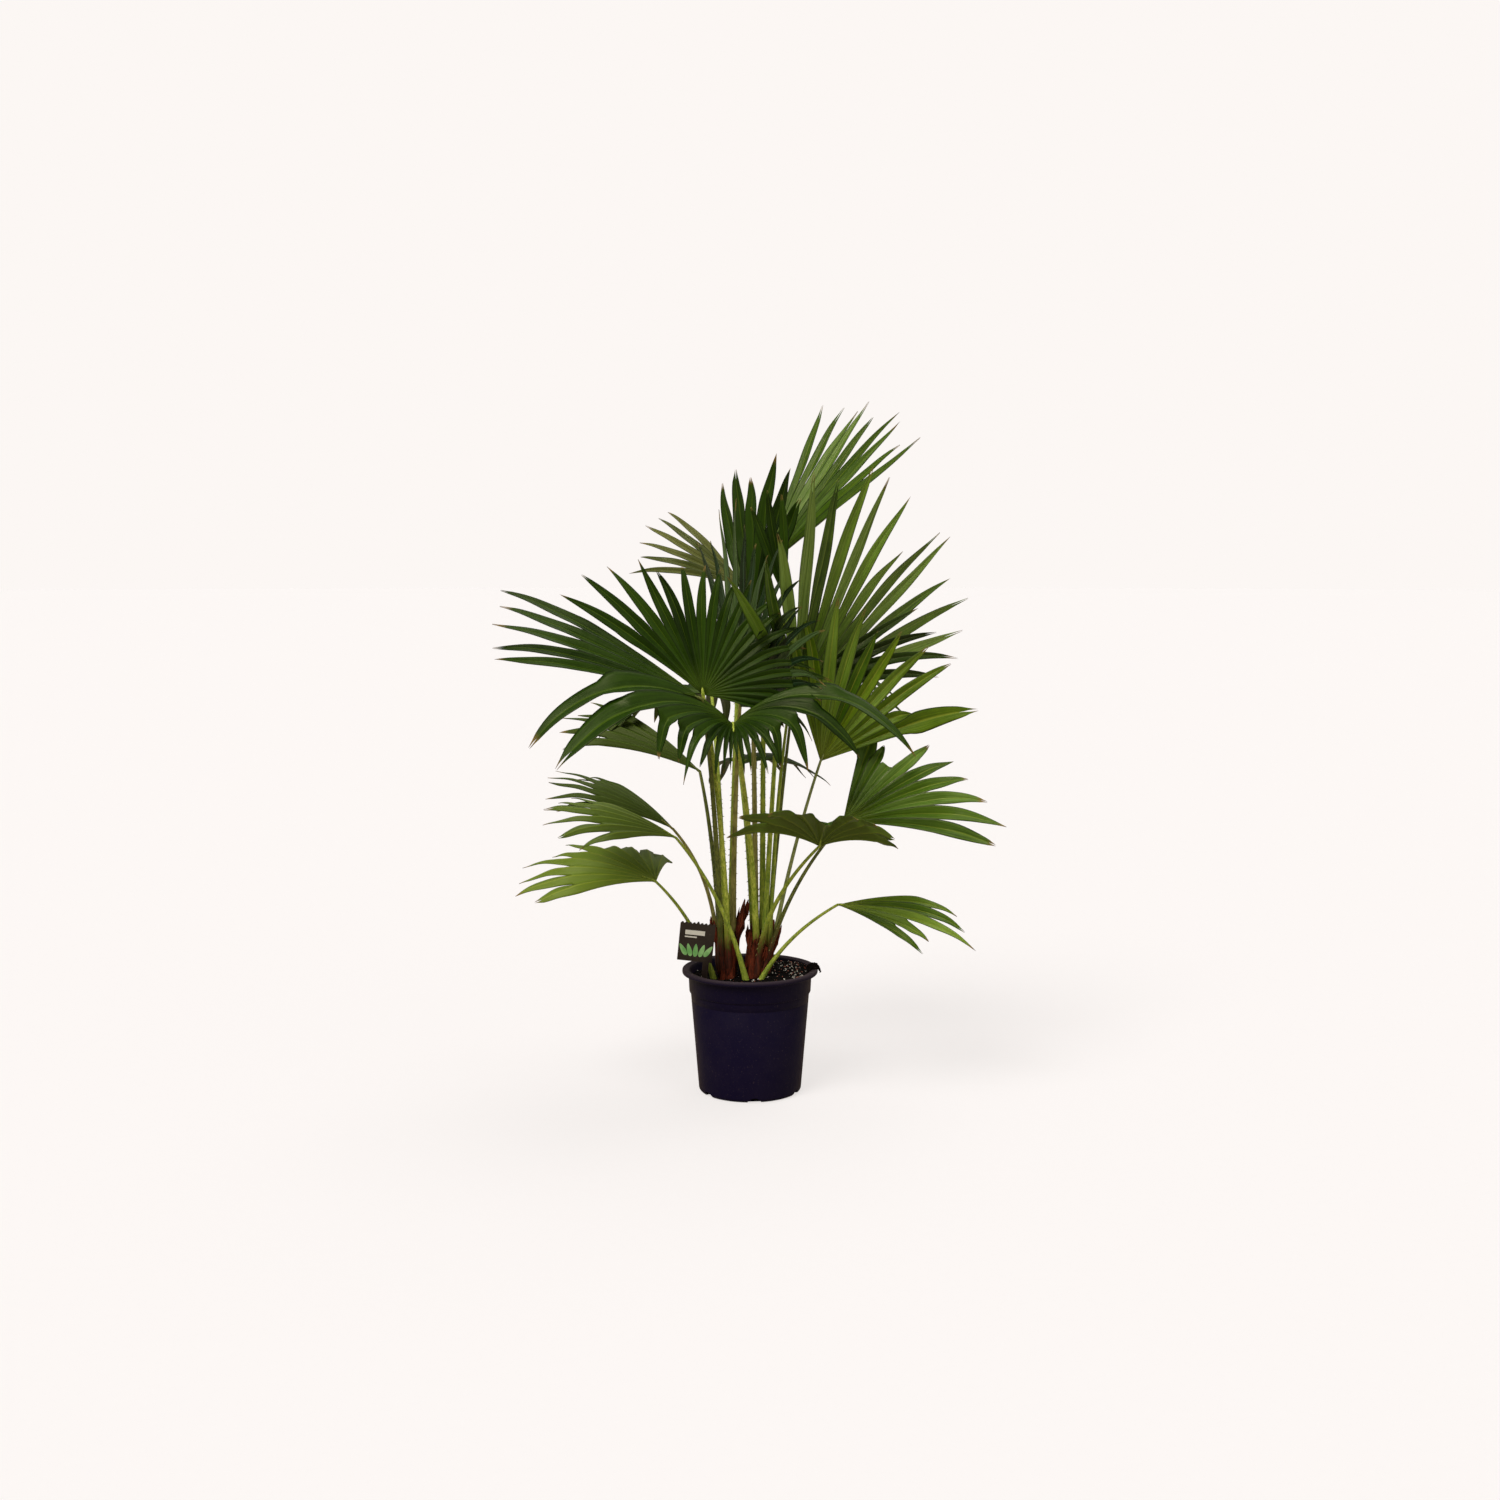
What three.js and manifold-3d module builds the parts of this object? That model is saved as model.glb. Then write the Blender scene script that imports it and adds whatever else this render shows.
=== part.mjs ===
// A young fan palm in its nursery pot: two fibrous stems, arching leaf stalks and pleated fan blades.
// Millimetres, +Z up, +X to the right, the front of the plant towards -Y.
// The origin is the middle of the pot's flat underside.

import * as THREE from 'three';
import Module from 'manifold-3d';

const wasm = await Module();
wasm.setup();

// ---- driving sizes ----------------------------------------------------------------------------

const GAP = 0.35; // clear space between two pieces that touch on the plant

const POT = {
  height: 220,
  rimRadius: 120,
  rimDepth: 9,
  rimRound: 2,
  lipInside: 6, // the rim's flat top ends this far in
  neckRadius: 109, // the collar's outside, under the rim
  collarDrop: 42, // from the rim's top down to the step under the collar
  collarTaper: 1.5,
  stepIn: 2.5,
  footRadius: 91,
  footRound: 7,
  wall: 3,
  floor: 4,
  around: 44,
  notches: 6,
  notchWidth: 20,
  notchHeight: 7,
  notchDepth: 12,
  firstNotch: 5, // degrees from the front, to the right
};

const SOIL = {
  level: 204,
  mound: 9,
  moundAt: [0.5, 0.1], // in shares of the soil's radius
  grain: 1.2,
  around: 32,
  rings: 5,
};

const STALK = {
  foot: 5.8,
  tip: 2.8,
  end: 2, // radius where it ends under the blade
  sides: 6,
  steps: 5,
  intoBlade: 13,
  intoSoil: 8,
  bow: [0.26, 0.62],
};

const BLADE = {
  thickness: 4, // at least: a long leaf takes its reach times share instead
  share: 0.0115,
  hub: 10, // from the hub to the blade's first row
  shut: 31, // how steep the folds are, in degrees
  split: 0.5, // part of the reach where the fingers part
  waist: 0.77, // a finger's width half way out, in shares of its width at the split
  opened: 0.4, // how steep its fold still is there, in shares of the steepness at the split
  turned: 0.93, // how much of its turn it has done there
  broad: 1.8, // a broad finger's width there, in shares of its neighbours'
  early: 0.3, // a short finger ends this share of its length early
  stagger: 0.34, // sideways scatter of tips, in shares of a finger's angle
  uneven: 0.09, // scatter of finger lengths
};

const STEM = { around: 20, levels: 5, lobeDepth: 0.1, twist: 1.5, shoulder: 0.5, ragged: 5, intoSoil: 6 };

const STEMS = {
  left: { foot: [-40, -12], top: [-37, -8, 314], radius: 15, waist: 12.5, lobes: 5, turn: 0.4 },
  right: { foot: [9, -14], top: [24, -8, 284], radius: 19, waist: 16, lobes: 6, turn: 1.1 },
};

// Stalks stand in two rings on a stem: how far out from its middle, and how far below its top.
const RINGS = {
  left: { inner: [8.5, 26], outer: [17.5, 74] },
  right: { inner: [11, 22], outer: [21, 58] },
};

const LABEL = {
  width: 59, height: 66, thick: 1.4, teeth: 9, tooth: 3, nub: 5,
  centre: [-93, -70, 279], lean: 6, tilt: 12, stakeWidth: 11, stakeAside: 20, stakeFoot: 188,
  point: 18,
};

// Each leaf: hub is where the blade starts. aim is the way its middle finger points and side the way
// of a finger a quarter turn round. fan is the first and last finger's angle from aim. reach is the
// middle finger's length, side fingers are shorter by taper, and skew makes one flank longer.
// sag bends fingers to the ground and cup lifts the flanks. shut is how steep the folds are and
// turn how far a free finger turns about its rib, in degrees. broad and short list the fingers that
// are wider than their neighbours, or end early. foot is the stem, the side of it that the stalk
// stands on, in degrees round from the right, and its ring of stalks, or a spot in the soil. bow is
// how far out and how far up the stalk has gone where it turns to lean out.
const LEAVES = {
  front_left: {
    hub: [-77, -185, 718], aim: [-0.15, 0.12, 0.96], side: [1, 0.05, 0.12], fan: [-42, 110],
    reach: 220, taper: -0.18, skew: -0.12, sag: 0.22, fingers: 20, short: [17, 18, 19],
    foot: ['left', -85, 'outer'],
  },
  top_slim: {
    hub: [61, -70, 867], aim: [-0.12, -0.1, 0.98], side: [0.95, -0.3, 0.1], fan: [-18, 10],
    reach: 200, taper: 0.1, sag: 0.02, fingers: 3, bow: [0.4, 0.5], foot: ['right', -64, 'inner'],
  },
  centre_upright: {
    hub: [-17, -60, 688], aim: [-0.05, 0.1, 0.99], side: [0.6, -0.8, 0.02], fan: [-18, 94],
    reach: 286, skew: -0.26, sag: 0.08, fingers: 20, split: 0.5, foot: ['left', -30, 'inner'],
  },
  right_high: {
    hub: [74, 10, 685], aim: [0.42, -0.05, 0.9], side: [0.52, 0.83, -0.2], fan: [-65, 62],
    reach: 455, taper: 0.06, skew: 0.06, sag: 0.1, fingers: 14, split: 0.34, shut: 35, turn: 22,
    short: [8], bow: [0.42, 0.5], foot: ['right', 8, 'inner'],
  },
  right_mid: {
    hub: [70, -15, 698], aim: [0.88, 0.1, 0.56], side: [0.4, 0.2, -0.9], fan: [-14, 14],
    reach: 290, taper: 0.05, sag: 0.24, fingers: 4, foot: ['right', -18, 'outer'],
  },
  right_front: {
    hub: [122, -40, 592], aim: [0.4, -0.05, 0.88], side: [0.9, 0.15, -0.36], fan: [-42, 47],
    reach: 278, sag: 0.05, fingers: 10, broad: [9], short: [8], bow: [0.42, 0.56],
    foot: ['right', 16, 'outer'],
  },
  top_right: {
    hub: [26, 60, 924], aim: [0.61, 0, 0.79], side: [0.36, -0.86, -0.32], fan: [-36, 26],
    reach: 354, skew: -0.05, sag: 0.03, fingers: 9, split: 0.38, shut: 42, turn: -20,
    foot: ['right', 80, 'inner'],
  },
  top_middle: {
    hub: [2, 30, 826], aim: [0.02, 0.05, 1], side: [0.55, -0.83, 0], fan: [-30, 38], reach: 292,
    taper: 0.08, sag: 0.05, fingers: 6, shut: 35, turn: -15, foot: ['right', 152, 'inner'],
  },
  top_left: {
    hub: [-12, 110, 893], aim: [-0.86, 0.15, 0.48], side: [0.35, 0.5, 0.79], fan: [-18, 26],
    reach: 200, taper: 0.05, sag: 0.12, fingers: 6, foot: ['left', 60, 'inner'],
  },
  left: {
    hub: [-78, -205, 712], aim: [-0.93, 0, 0.4], side: [0.25, 0.7, 0.66], fan: [-9, 18],
    reach: 378, skew: 0.05, sag: 0.12, fingers: 5, split: 0.55, foot: ['left', -130, 'outer'],
  },
  front_centre: {
    hub: [-28, -190, 672], aim: [0.05, -0.86, -0.4], side: [-1, 0, 0.02], fan: [-103, 107],
    reach: 67, taper: -4.8, skew: 0.12, sag: 0.93, cup: 0.88, fingers: 18, broad: [16],
    short: [2, 3, 14, 15], foot: ['right', -136, 'inner'],
  },
  left_back: {
    hub: [-90, 80, 560], aim: [-0.8, 0.3, 0.55], side: [-0.2, -0.8, -0.55], fan: [-15, 16],
    reach: 290, taper: 0.05, sag: 0.28, fingers: 5, split: 0.62, shut: 38,
    foot: ['left', 135, 'outer'],
  },
  back_low: {
    hub: [-20, 140, 565], aim: [0.5, 0.75, 0.38], side: [0.85, -0.5, 0], fan: [-58, 36],
    reach: 200, taper: 0.1, sag: 0.6, fingers: 9, foot: ['right', 106, 'outer'],
  },
  low_left_back: {
    hub: [-134, -30, 472], aim: [-0.82, -0.05, 0.57], side: [-0.2, -0.95, -0.15], fan: [-36, 16],
    reach: 232, taper: 0.1, sag: 0.32, fingers: 7, split: 0.58, shut: 36, bow: [0.05, 0.62],
    foot: ['left', 180, 'outer'],
  },
  low_left_mid: {
    hub: [-126, -100, 467], aim: [-0.86, -0.15, 0.46], side: [-0.1, -0.97, -0.2], fan: [-22, 32],
    reach: 238, taper: 0.2, sag: 0.26, fingers: 6, split: 0.56, shut: 36, bow: [0.3, 0.6],
    foot: ['soil', -5, -36],
  },
  low_left_front: {
    hub: [-162, -75, 387], aim: [-0.95, 0.1, 0.3], side: [-0.15, -0.93, -0.33], fan: [-86, 27],
    reach: 236, taper: 0.16, skew: 0.08, sag: 0.3, fingers: 10, split: 0.6, shut: 34, broad: [0],
    bow: [0.3, 0.6], foot: ['soil', -62, -16],
  },
  low_right_back: {
    hub: [160, -60, 487], aim: [0.88, 0, 0.45], side: [0.35, -0.55, -0.75], fan: [-54, 29],
    reach: 238, skew: 0.16, sag: 0.2, fingers: 9, split: 0.58, shut: 34, broad: [0], short: [1, 2],
    bow: [0.3, 0.6], foot: ['right', -52, 'outer'],
  },
  low_right_front: {
    hub: [117, -150, 461], aim: [0.05, -0.7, 0.62], side: [-1, -0.05, 0.1], fan: [-76, 76],
    reach: 150, skew: 0.04, sag: 0.42, cup: 0.3, fingers: 9, split: 0.62, shut: 36,
    bow: [0.06, 0.5], foot: ['right', -88, 'outer'],
  },
  low_right_small: {
    hub: [152, -60, 344], aim: [0.98, -0.1, 0.04], side: [0.1, -0.8, -0.6], fan: [-16, 28],
    reach: 240, taper: 0.25, skew: -0.15, sag: 0.2, fingers: 5, split: 0.52, shut: 36, short: [3],
    bow: [0.3, 0.6], foot: ['soil', 14, -40],
  },
  back_high: {
    hub: [26, 130, 748], aim: [0.32, 0.86, 0.35], side: [1, -0.34, 0], fan: [-68, 75], reach: 300,
    taper: 0.2, sag: 0.5, fingers: 14, foot: ['right', 66, 'outer'],
  },
  back_left: {
    hub: [-70, 150, 694], aim: [-0.6, 0.74, 0.3], side: [0.78, 0.6, 0], fan: [-60, 52], reach: 280,
    taper: 0.2, sag: 0.6, fingers: 11, foot: ['left', 150, 'inner'],
  },
};

const COLOUR = {
  pot: 0x1b1826,
  soil: 0x2a2019,
  stem: 0x5a2f1e,
  stalk: 0x7f8f2c,
  blade: 0x2b4f16,
  label: 0x2c2420,
};

// ---- small helpers ----------------------------------------------------------------------------

const DEG = Math.PI / 180;
const DOWN = new THREE.Vector3(0, 0, -1);

/** A unit vector. */
function unit(x, y, z) {
  return new THREE.Vector3(x, y, z).normalize();
}

/** A closed solid from its corners and faces. */
function solid(corners, faces) {
  const vertProperties = new Float32Array(corners.flatMap((p) => [p.x, p.y, p.z]));
  const triVerts = new Uint32Array(faces.flat());
  return new wasm.Manifold(new wasm.Mesh({ numProp: 3, vertProperties, triVerts }));
}

/** The largest single body of a solid, with cut-off scraps left out. */
function largest(body) {
  const bodies = body.decompose();
  return bodies.reduce((best, one) => (one.volume() > best.volume() ? one : best));
}

/** Two quads or triangles between neighbouring rows of corners. */
function strip(faces, a, b, c, d) {
  faces.push([a, b, c], [a, c, d]);
}

// ---- leaf stalks ------------------------------------------------------------------------------

/** The stem's middle at a height. */
function stemAxis(stem, z) {
  const u = (z - SOIL.level) / (stem.top[2] - SOIL.level);
  return new THREE.Vector3(
    stem.foot[0] + (stem.top[0] - stem.foot[0]) * u,
    stem.foot[1] + (stem.top[1] - stem.foot[1]) * u,
    z,
  );
}

/** Where a stalk starts: inside its stem, or in the soil. */
function stalkFoot(leaf) {
  const [place, a, b] = leaf.foot;
  if (place === 'soil') return new THREE.Vector3(a, b, SOIL.level - STALK.intoSoil);
  const [out, drop] = RINGS[place][b];
  const shift = new THREE.Vector3(Math.cos(a * DEG) * out, Math.sin(a * DEG) * out, 0);
  return stemAxis(STEMS[place], STEMS[place].top[2] - drop).add(shift);
}

/** The stalk's curve: it rises steeply, then leans out to the blade. */
function stalkCurve(leaf) {
  const foot = stalkFoot(leaf);
  const hub = new THREE.Vector3(...leaf.hub);
  const [along, up] = leaf.bow ?? STALK.bow;
  const bend = new THREE.Vector3(
    foot.x + (hub.x - foot.x) * along,
    foot.y + (hub.y - foot.y) * along,
    foot.z + (hub.z - foot.z) * up,
  );
  return new THREE.QuadraticBezierCurve3(foot, bend, hub);
}

/** One tapering stalk, its tip run a little way under the blade. */
function stalk(leaf, grow = 0) {
  const curve = stalkCurve(leaf);
  const rows = [];
  for (let i = 0; i <= STALK.steps; i += 1) {
    const u = i / STALK.steps;
    const r = STALK.foot + (STALK.tip - STALK.foot) * u;
    rows.push({ at: curve.getPoint(u), way: curve.getTangent(u), r });
  }
  const aim = unit(...leaf.aim);
  const last = rows[STALK.steps];
  last.way.add(aim).normalize();
  const end = last.at.clone().addScaledVector(aim, STALK.intoBlade + grow);
  rows.push({ at: end, way: aim, r: STALK.end });

  const corners = [];
  const faces = [];
  const n = STALK.sides;
  let across = new THREE.Vector3(1, 0, 0);
  for (const { at, way, r } of rows) {
    across = across.addScaledVector(way, -across.dot(way)).normalize();
    const over = new THREE.Vector3().crossVectors(way, across);
    for (let k = 0; k < n; k += 1) {
      const a = (k / n) * 2 * Math.PI;
      corners.push(at.clone()
        .addScaledVector(across, Math.cos(a) * (r + grow))
        .addScaledVector(over, Math.sin(a) * (r + grow)));
    }
  }
  for (let i = 0; i + 1 < rows.length; i += 1) {
    for (let k = 0; k < n; k += 1) {
      const m = (k + 1) % n;
      strip(faces, i * n + k, i * n + m, (i + 1) * n + m, (i + 1) * n + k);
    }
  }
  const top = (rows.length - 1) * n;
  for (let k = 1; k + 1 < n; k += 1) {
    faces.push([0, k + 1, k], [top, top + k, top + k + 1]);
  }
  return solid(corners, faces);
}

// ---- fan blades -------------------------------------------------------------------------------

/** The blade's own axes: aim, side, and the way its upper face looks. */
function bladeAxes(leaf) {
  const aim = unit(...leaf.aim);
  const side = new THREE.Vector3(...leaf.side);
  side.addScaledVector(aim, -side.dot(aim)).normalize();
  return { aim, side, up: new THREE.Vector3().crossVectors(side, aim) };
}

/** A number from -1 to 1 that is always the same for the same leaf and finger. */
function chance(leaf, k) {
  const t = Math.sin(leaf.hub[0] * 12.9 + leaf.hub[2] * 4.1 + k * 78.2) * 437.5;
  return 2 * (t - Math.floor(t)) - 1;
}

/** A finger's length at an angle of the fan. */
function fingerLength(leaf, angle) {
  const [from, to] = leaf.fan;
  const u = (2 * (angle - from)) / (to - from) - 1;
  return leaf.reach * (1 - (leaf.taper ?? 0) * u * u) * (1 + (leaf.skew ?? 0) * u);
}

/** A point on the blade, at an angle of the fan and a part of the way out, with its way and face. */
function bladePoint(leaf, axes, angle, part, extra = 0) {
  const s = Math.sin(angle * DEG);
  const way = new THREE.Vector3()
    .addScaledVector(axes.aim, Math.cos(angle * DEG))
    .addScaledVector(axes.side, s)
    .addScaledVector(axes.up, (leaf.cup ?? 0) * Math.abs(s))
    .normalize();
  const level = Math.hypot(way.x, way.y);
  const length = fingerLength(leaf, angle) + extra;
  const at = new THREE.Vector3(...leaf.hub);
  const steps = 8;
  let now = way;
  for (let i = 0; i < steps; i += 1) {
    const mid = ((i + 0.5) / steps) * part;
    now = way.clone().addScaledVector(DOWN, (leaf.sag ?? 0) * level * 2 * mid).normalize();
    at.addScaledVector(now, (length * part) / steps);
  }
  const over = new THREE.Vector3().crossVectors(now, axes.up).normalize();
  const face = new THREE.Vector3().crossVectors(over, now).normalize();
  return { at, over, face };
}

/** One pleated fan: joined from the hub to the split, then free fingers that run to points. */
function blade(leaf, grow = 0) {
  const axes = bladeAxes(leaf);
  const n = leaf.fingers;
  const [from, to] = leaf.fan;
  const step = (to - from) / n;
  const half = Math.max(BLADE.thickness, BLADE.share * leaf.reach) / 2 + grow;
  const split = leaf.split ?? BLADE.split;
  const shut = (leaf.shut ?? BLADE.shut) * DEG;
  const turn = (leaf.turn ?? 0) * BLADE.turned * DEG;
  const corners = [];
  const faces = [];

  const add = (p, off) => corners.push(p.at.clone().addScaledVector(p.face, off)) - 1;
  const pair = (p, rise) => [add(p, rise + half), add(p, rise - half)];

  // Lines run out from the hub: even ones are the seams between fingers, odd ones their ribs.
  const rows = [BLADE.hub / leaf.reach, split * 0.5, split].map((part) => {
    const row = [];
    for (let j = 0; j <= 2 * n; j += 1) {
      const edge = j === 0 ? -grow : j === 2 * n ? grow : 0;
      const angle = from + (step * j) / 2;
      const p = bladePoint(leaf, axes, angle, part);
      p.at.addScaledVector(p.over, edge);
      const width = part * fingerLength(leaf, angle) * step * DEG;
      row.push(pair(p, (j % 2 ? -0.25 : 0.25) * Math.tan(shut) * width));
    }
    return row;
  });
  for (let i = 0; i + 1 < rows.length; i += 1) {
    for (let j = 0; j < 2 * n; j += 1) {
      const [a, b, c, d] = [rows[i][j], rows[i][j + 1], rows[i + 1][j + 1], rows[i + 1][j]];
      strip(faces, a[0], d[0], c[0], b[0]);
      strip(faces, a[1], b[1], c[1], d[1]);
    }
  }
  for (let j = 0; j < 2 * n; j += 1) {
    strip(faces, rows[0][j][0], rows[0][j + 1][0], rows[0][j + 1][1], rows[0][j][1]);
  }
  for (let i = 0; i + 1 < rows.length; i += 1) {
    const [a, d] = [rows[i][0], rows[i + 1][0]];
    strip(faces, a[0], a[1], d[1], d[0]);
    const [b, c] = [rows[i][2 * n], rows[i + 1][2 * n]];
    strip(faces, b[0], c[0], c[1], b[1]);
  }

  // Fingers.
  for (let k = 0; k < n; k += 1) {
    const angle = from + step * (k + 0.5);
    const lean = step * BLADE.stagger * chance(leaf, k);
    const length = fingerLength(leaf, angle);
    const early = leaf.short?.includes(k) ? BLADE.early : 0;
    const more = length * (BLADE.uneven * chance(leaf, k + 50) - early);
    const broad = leaf.broad?.includes(k) ? BLADE.broad : 1;
    const slope = (0.5 * split * length * step * DEG * BLADE.waist * broad) / Math.cos(shut);
    const part = split + (1 - split) * 0.5;
    const mid = bladePoint(leaf, axes, angle + lean / 2, part, more);
    const over = mid.over.clone().multiplyScalar(Math.cos(turn)).addScaledVector(mid.face, Math.sin(turn));
    mid.face.multiplyScalar(Math.cos(turn)).addScaledVector(mid.over, -Math.sin(turn));
    const reach = slope * Math.cos(BLADE.opened * shut) + grow;
    const rise = 0.5 * slope * Math.sin(BLADE.opened * shut);
    const left = { ...mid, at: mid.at.clone().addScaledVector(over, -reach) };
    const right = { ...mid, at: mid.at.clone().addScaledVector(over, reach) };
    const row = [pair(left, rise), pair(mid, -rise), pair(right, rise)];
    const root = [rows[2][2 * k], rows[2][2 * k + 1], rows[2][2 * k + 2]];
    for (let j = 0; j < 2; j += 1) {
      strip(faces, root[j][0], row[j][0], row[j + 1][0], root[j + 1][0]);
      strip(faces, root[j][1], root[j + 1][1], row[j + 1][1], row[j][1]);
    }
    strip(faces, root[0][0], root[0][1], row[0][1], row[0][0]);
    strip(faces, root[2][0], row[2][0], row[2][1], root[2][1]);
    const tip = add(bladePoint(leaf, axes, angle + lean, 1, more + 2 * grow), 0);
    faces.push([row[0][0], tip, row[1][0]], [row[1][0], tip, row[2][0]]);
    faces.push([row[0][1], row[1][1], tip], [row[1][1], row[2][1], tip]);
    faces.push([row[0][0], row[0][1], tip], [row[2][0], tip, row[2][1]]);
  }
  return solid(corners, faces.map(([a, b, c]) => [a, c, b]));
}

// ---- stems, pot, soil and label ---------------------------------------------------------------

/** A short stem wrapped in old leaf bases: lobed, leaning, and narrower at its ragged top. */
function stem(spec, grow = 0) {
  const { around, levels } = STEM;
  const bottom = SOIL.level - STEM.intoSoil;
  const corners = [];
  const faces = [];
  for (let i = 0; i <= levels; i += 1) {
    const u = i / levels;
    const z = bottom + (spec.top[2] - bottom) * u;
    const axis = stemAxis(spec, z);
    for (let k = 0; k < around; k += 1) {
      const a = (k / around) * 2 * Math.PI;
      const lobe = 1 + STEM.lobeDepth * Math.sin(spec.lobes * a + spec.turn + STEM.twist * u);
      const bare = spec.radius + (spec.waist - spec.radius) * u;
      const r = bare * lobe * (1 - STEM.shoulder * u ** 6) + grow;
      const ragged = i === levels ? STEM.ragged * Math.sin(3 * a + spec.turn) : 0;
      const ends = i === 0 ? -grow : i === levels ? grow : 0;
      const [x, y] = [axis.x + r * Math.cos(a), axis.y + r * Math.sin(a)];
      corners.push(new THREE.Vector3(x, y, z + ragged + ends));
    }
  }
  for (let i = 0; i < levels; i += 1) {
    for (let k = 0; k < around; k += 1) {
      const m = (k + 1) % around;
      strip(faces, i * around + k, i * around + m, (i + 1) * around + m, (i + 1) * around + k);
    }
  }
  const foot = corners.push(stemAxis(spec, bottom - grow)) - 1;
  const head = corners.push(stemAxis(spec, spec.top[2] + grow)) - 1;
  const last = levels * around;
  for (let k = 0; k < around; k += 1) {
    const m = (k + 1) % around;
    faces.push([foot, m, k], [head, last + k, last + m]);
  }
  return solid(corners, faces);
}

/** The pot's outer radius at a height, under its collar. */
function potRadius(z) {
  const top = POT.height - POT.collarDrop;
  const under = POT.neckRadius - POT.collarTaper - POT.stepIn;
  return POT.footRadius + ((under - POT.footRadius) * z) / top;
}

/** The pot: a tapered wall with a collar and rolled rim, and drain arches round its foot. */
function pot() {
  const { height: h, rimRadius: rim, rimDepth, rimRound, neckRadius: neck, wall, floor } = POT;
  const step = h - POT.collarDrop;
  const r = POT.footRound;
  const foot = [0, 0.3, 0.6, 1].map((u) => [
    POT.footRadius - r + r * Math.sin(u * Math.PI / 2),
    r - r * Math.cos(u * Math.PI / 2),
  ]);
  const profile = [
    [0, 0],
    ...foot,
    [potRadius(step), step],
    [neck - POT.collarTaper, step + wall],
    [neck, h - rimDepth - wall],
    [rim - rimRound / 2, h - rimDepth],
    [rim, h - rimDepth + rimRound],
    [rim, h - rimRound],
    [rim - rimRound, h],
    [rim - POT.lipInside, h],
    [neck - wall, h - wall],
    [neck - wall - POT.collarTaper, step + rimRound],
    [potRadius(step) - wall, step - wall],
    [potRadius(floor) - wall, floor],
    [0, floor],
  ];
  const body = new wasm.CrossSection([profile]).revolve(POT.around);
  const half = POT.notchWidth / 2;
  const arch = wasm.Manifold.cylinder(4 * half, half, half, 16, true)
    .scale([1, POT.notchHeight / half, 1])
    .rotate([90, 0, 0])
    .translate([0, POT.notchDepth - POT.footRadius - 2 * half, 0]);
  let cuts = arch.rotate([0, 0, POT.firstNotch]);
  for (let i = 1; i < POT.notches; i += 1) {
    cuts = cuts.add(arch.rotate([0, 0, POT.firstNotch + (360 / POT.notches) * i]));
  }
  return body.subtract(cuts);
}

/** A ring of corners round the Z axis; height gives each corner's z. */
function ring(corners, r, around, height) {
  for (let k = 0; k < around; k += 1) {
    const a = (k / around) * 2 * Math.PI;
    const [x, y] = [r * Math.cos(a), r * Math.sin(a)];
    corners.push(new THREE.Vector3(x, y, height(x, y)));
  }
}

/** The potting mix: it fills the pot and is heaped to the right. */
function soil() {
  const { around, rings } = SOIL;
  const step = POT.height - POT.collarDrop;
  const clear = POT.wall + 2 * GAP; // from the pot's outside, so flats of both stay apart
  const edge = POT.neckRadius - POT.collarTaper - clear;
  const top = (x, y) => {
    const d = Math.hypot(x - SOIL.moundAt[0] * edge, y - SOIL.moundAt[1] * edge) / edge;
    const grain = Math.sin(x / SOIL.mound + 1) * Math.cos(y / SOIL.mound) * SOIL.grain;
    return SOIL.level + SOIL.mound * Math.exp(-3 * d * d) + grain;
  };
  const corners = [];
  ring(corners, potRadius(POT.floor) - clear, around, () => POT.floor + GAP);
  ring(corners, potRadius(step) - clear - GAP, around, () => step - POT.wall - 2 * GAP);
  ring(corners, edge - GAP, around, () => step + POT.wall);
  for (let i = 0; i < rings; i += 1) ring(corners, edge * (1 - i / rings), around, top);

  const faces = [];
  const rows = 3 + rings;
  for (let i = 0; i + 1 < rows; i += 1) {
    for (let k = 0; k < around; k += 1) {
      const m = (k + 1) % around;
      strip(faces, i * around + k, i * around + m, (i + 1) * around + m, (i + 1) * around + k);
    }
  }
  const foot = corners.push(new THREE.Vector3(0, 0, POT.floor + GAP)) - 1;
  const head = corners.push(new THREE.Vector3(0, 0, top(0, 0))) - 1;
  const last = (rows - 1) * around;
  for (let k = 0; k < around; k += 1) {
    const m = (k + 1) % around;
    faces.push([foot, m, k], [head, last + k, last + m]);
  }
  return solid(corners, faces);
}

/** The plant label: a card with a toothed top and a nub, on a pointed stake. */
function label(grow = 0) {
  const w = LABEL.width / 2 + grow;
  const h = LABEL.height / 2 + grow;
  const teeth = [];
  for (let i = 0; i < LABEL.teeth; i += 1) {
    const a = w - ((i + 0.5) / LABEL.teeth) * 2 * w;
    const b = w - ((i + 1) / LABEL.teeth) * 2 * w;
    const tall = i === (LABEL.teeth - 1) / 2 ? LABEL.nub : LABEL.tooth;
    teeth.push([a, h + tall]);
    if (i + 1 < LABEL.teeth) teeth.push([b, h]);
  }
  const card = new wasm.CrossSection([[[-w, h], [-w, -h], [w, -h], [w, h], ...teeth]]);
  const foot = LABEL.centre[2] - LABEL.stakeFoot;
  const s = LABEL.stakeWidth / 2 + grow;
  const stake = new wasm.CrossSection([[
    [-s, 0], [-s, LABEL.point - foot], [0, -foot - grow], [s, LABEL.point - foot], [s, 0],
  ]]);
  return card.add(stake.translate([LABEL.stakeAside, 0]))
    .extrude(LABEL.thick + 2 * grow)
    .translate([0, 0, -LABEL.thick / 2 - grow])
    .rotate([90 + LABEL.tilt, 0, 0])
    .rotate([0, LABEL.lean, 0])
    .translate(LABEL.centre);
}

// ---- assembly ---------------------------------------------------------------------------------

/** Whether two boxes come within reach of each other. */
function near(a, b) {
  const [p, q] = [a.boundingBox(), b.boundingBox()];
  return [0, 1, 2].every((i) => p.min[i] < q.max[i] && q.min[i] < p.max[i]);
}

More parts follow.
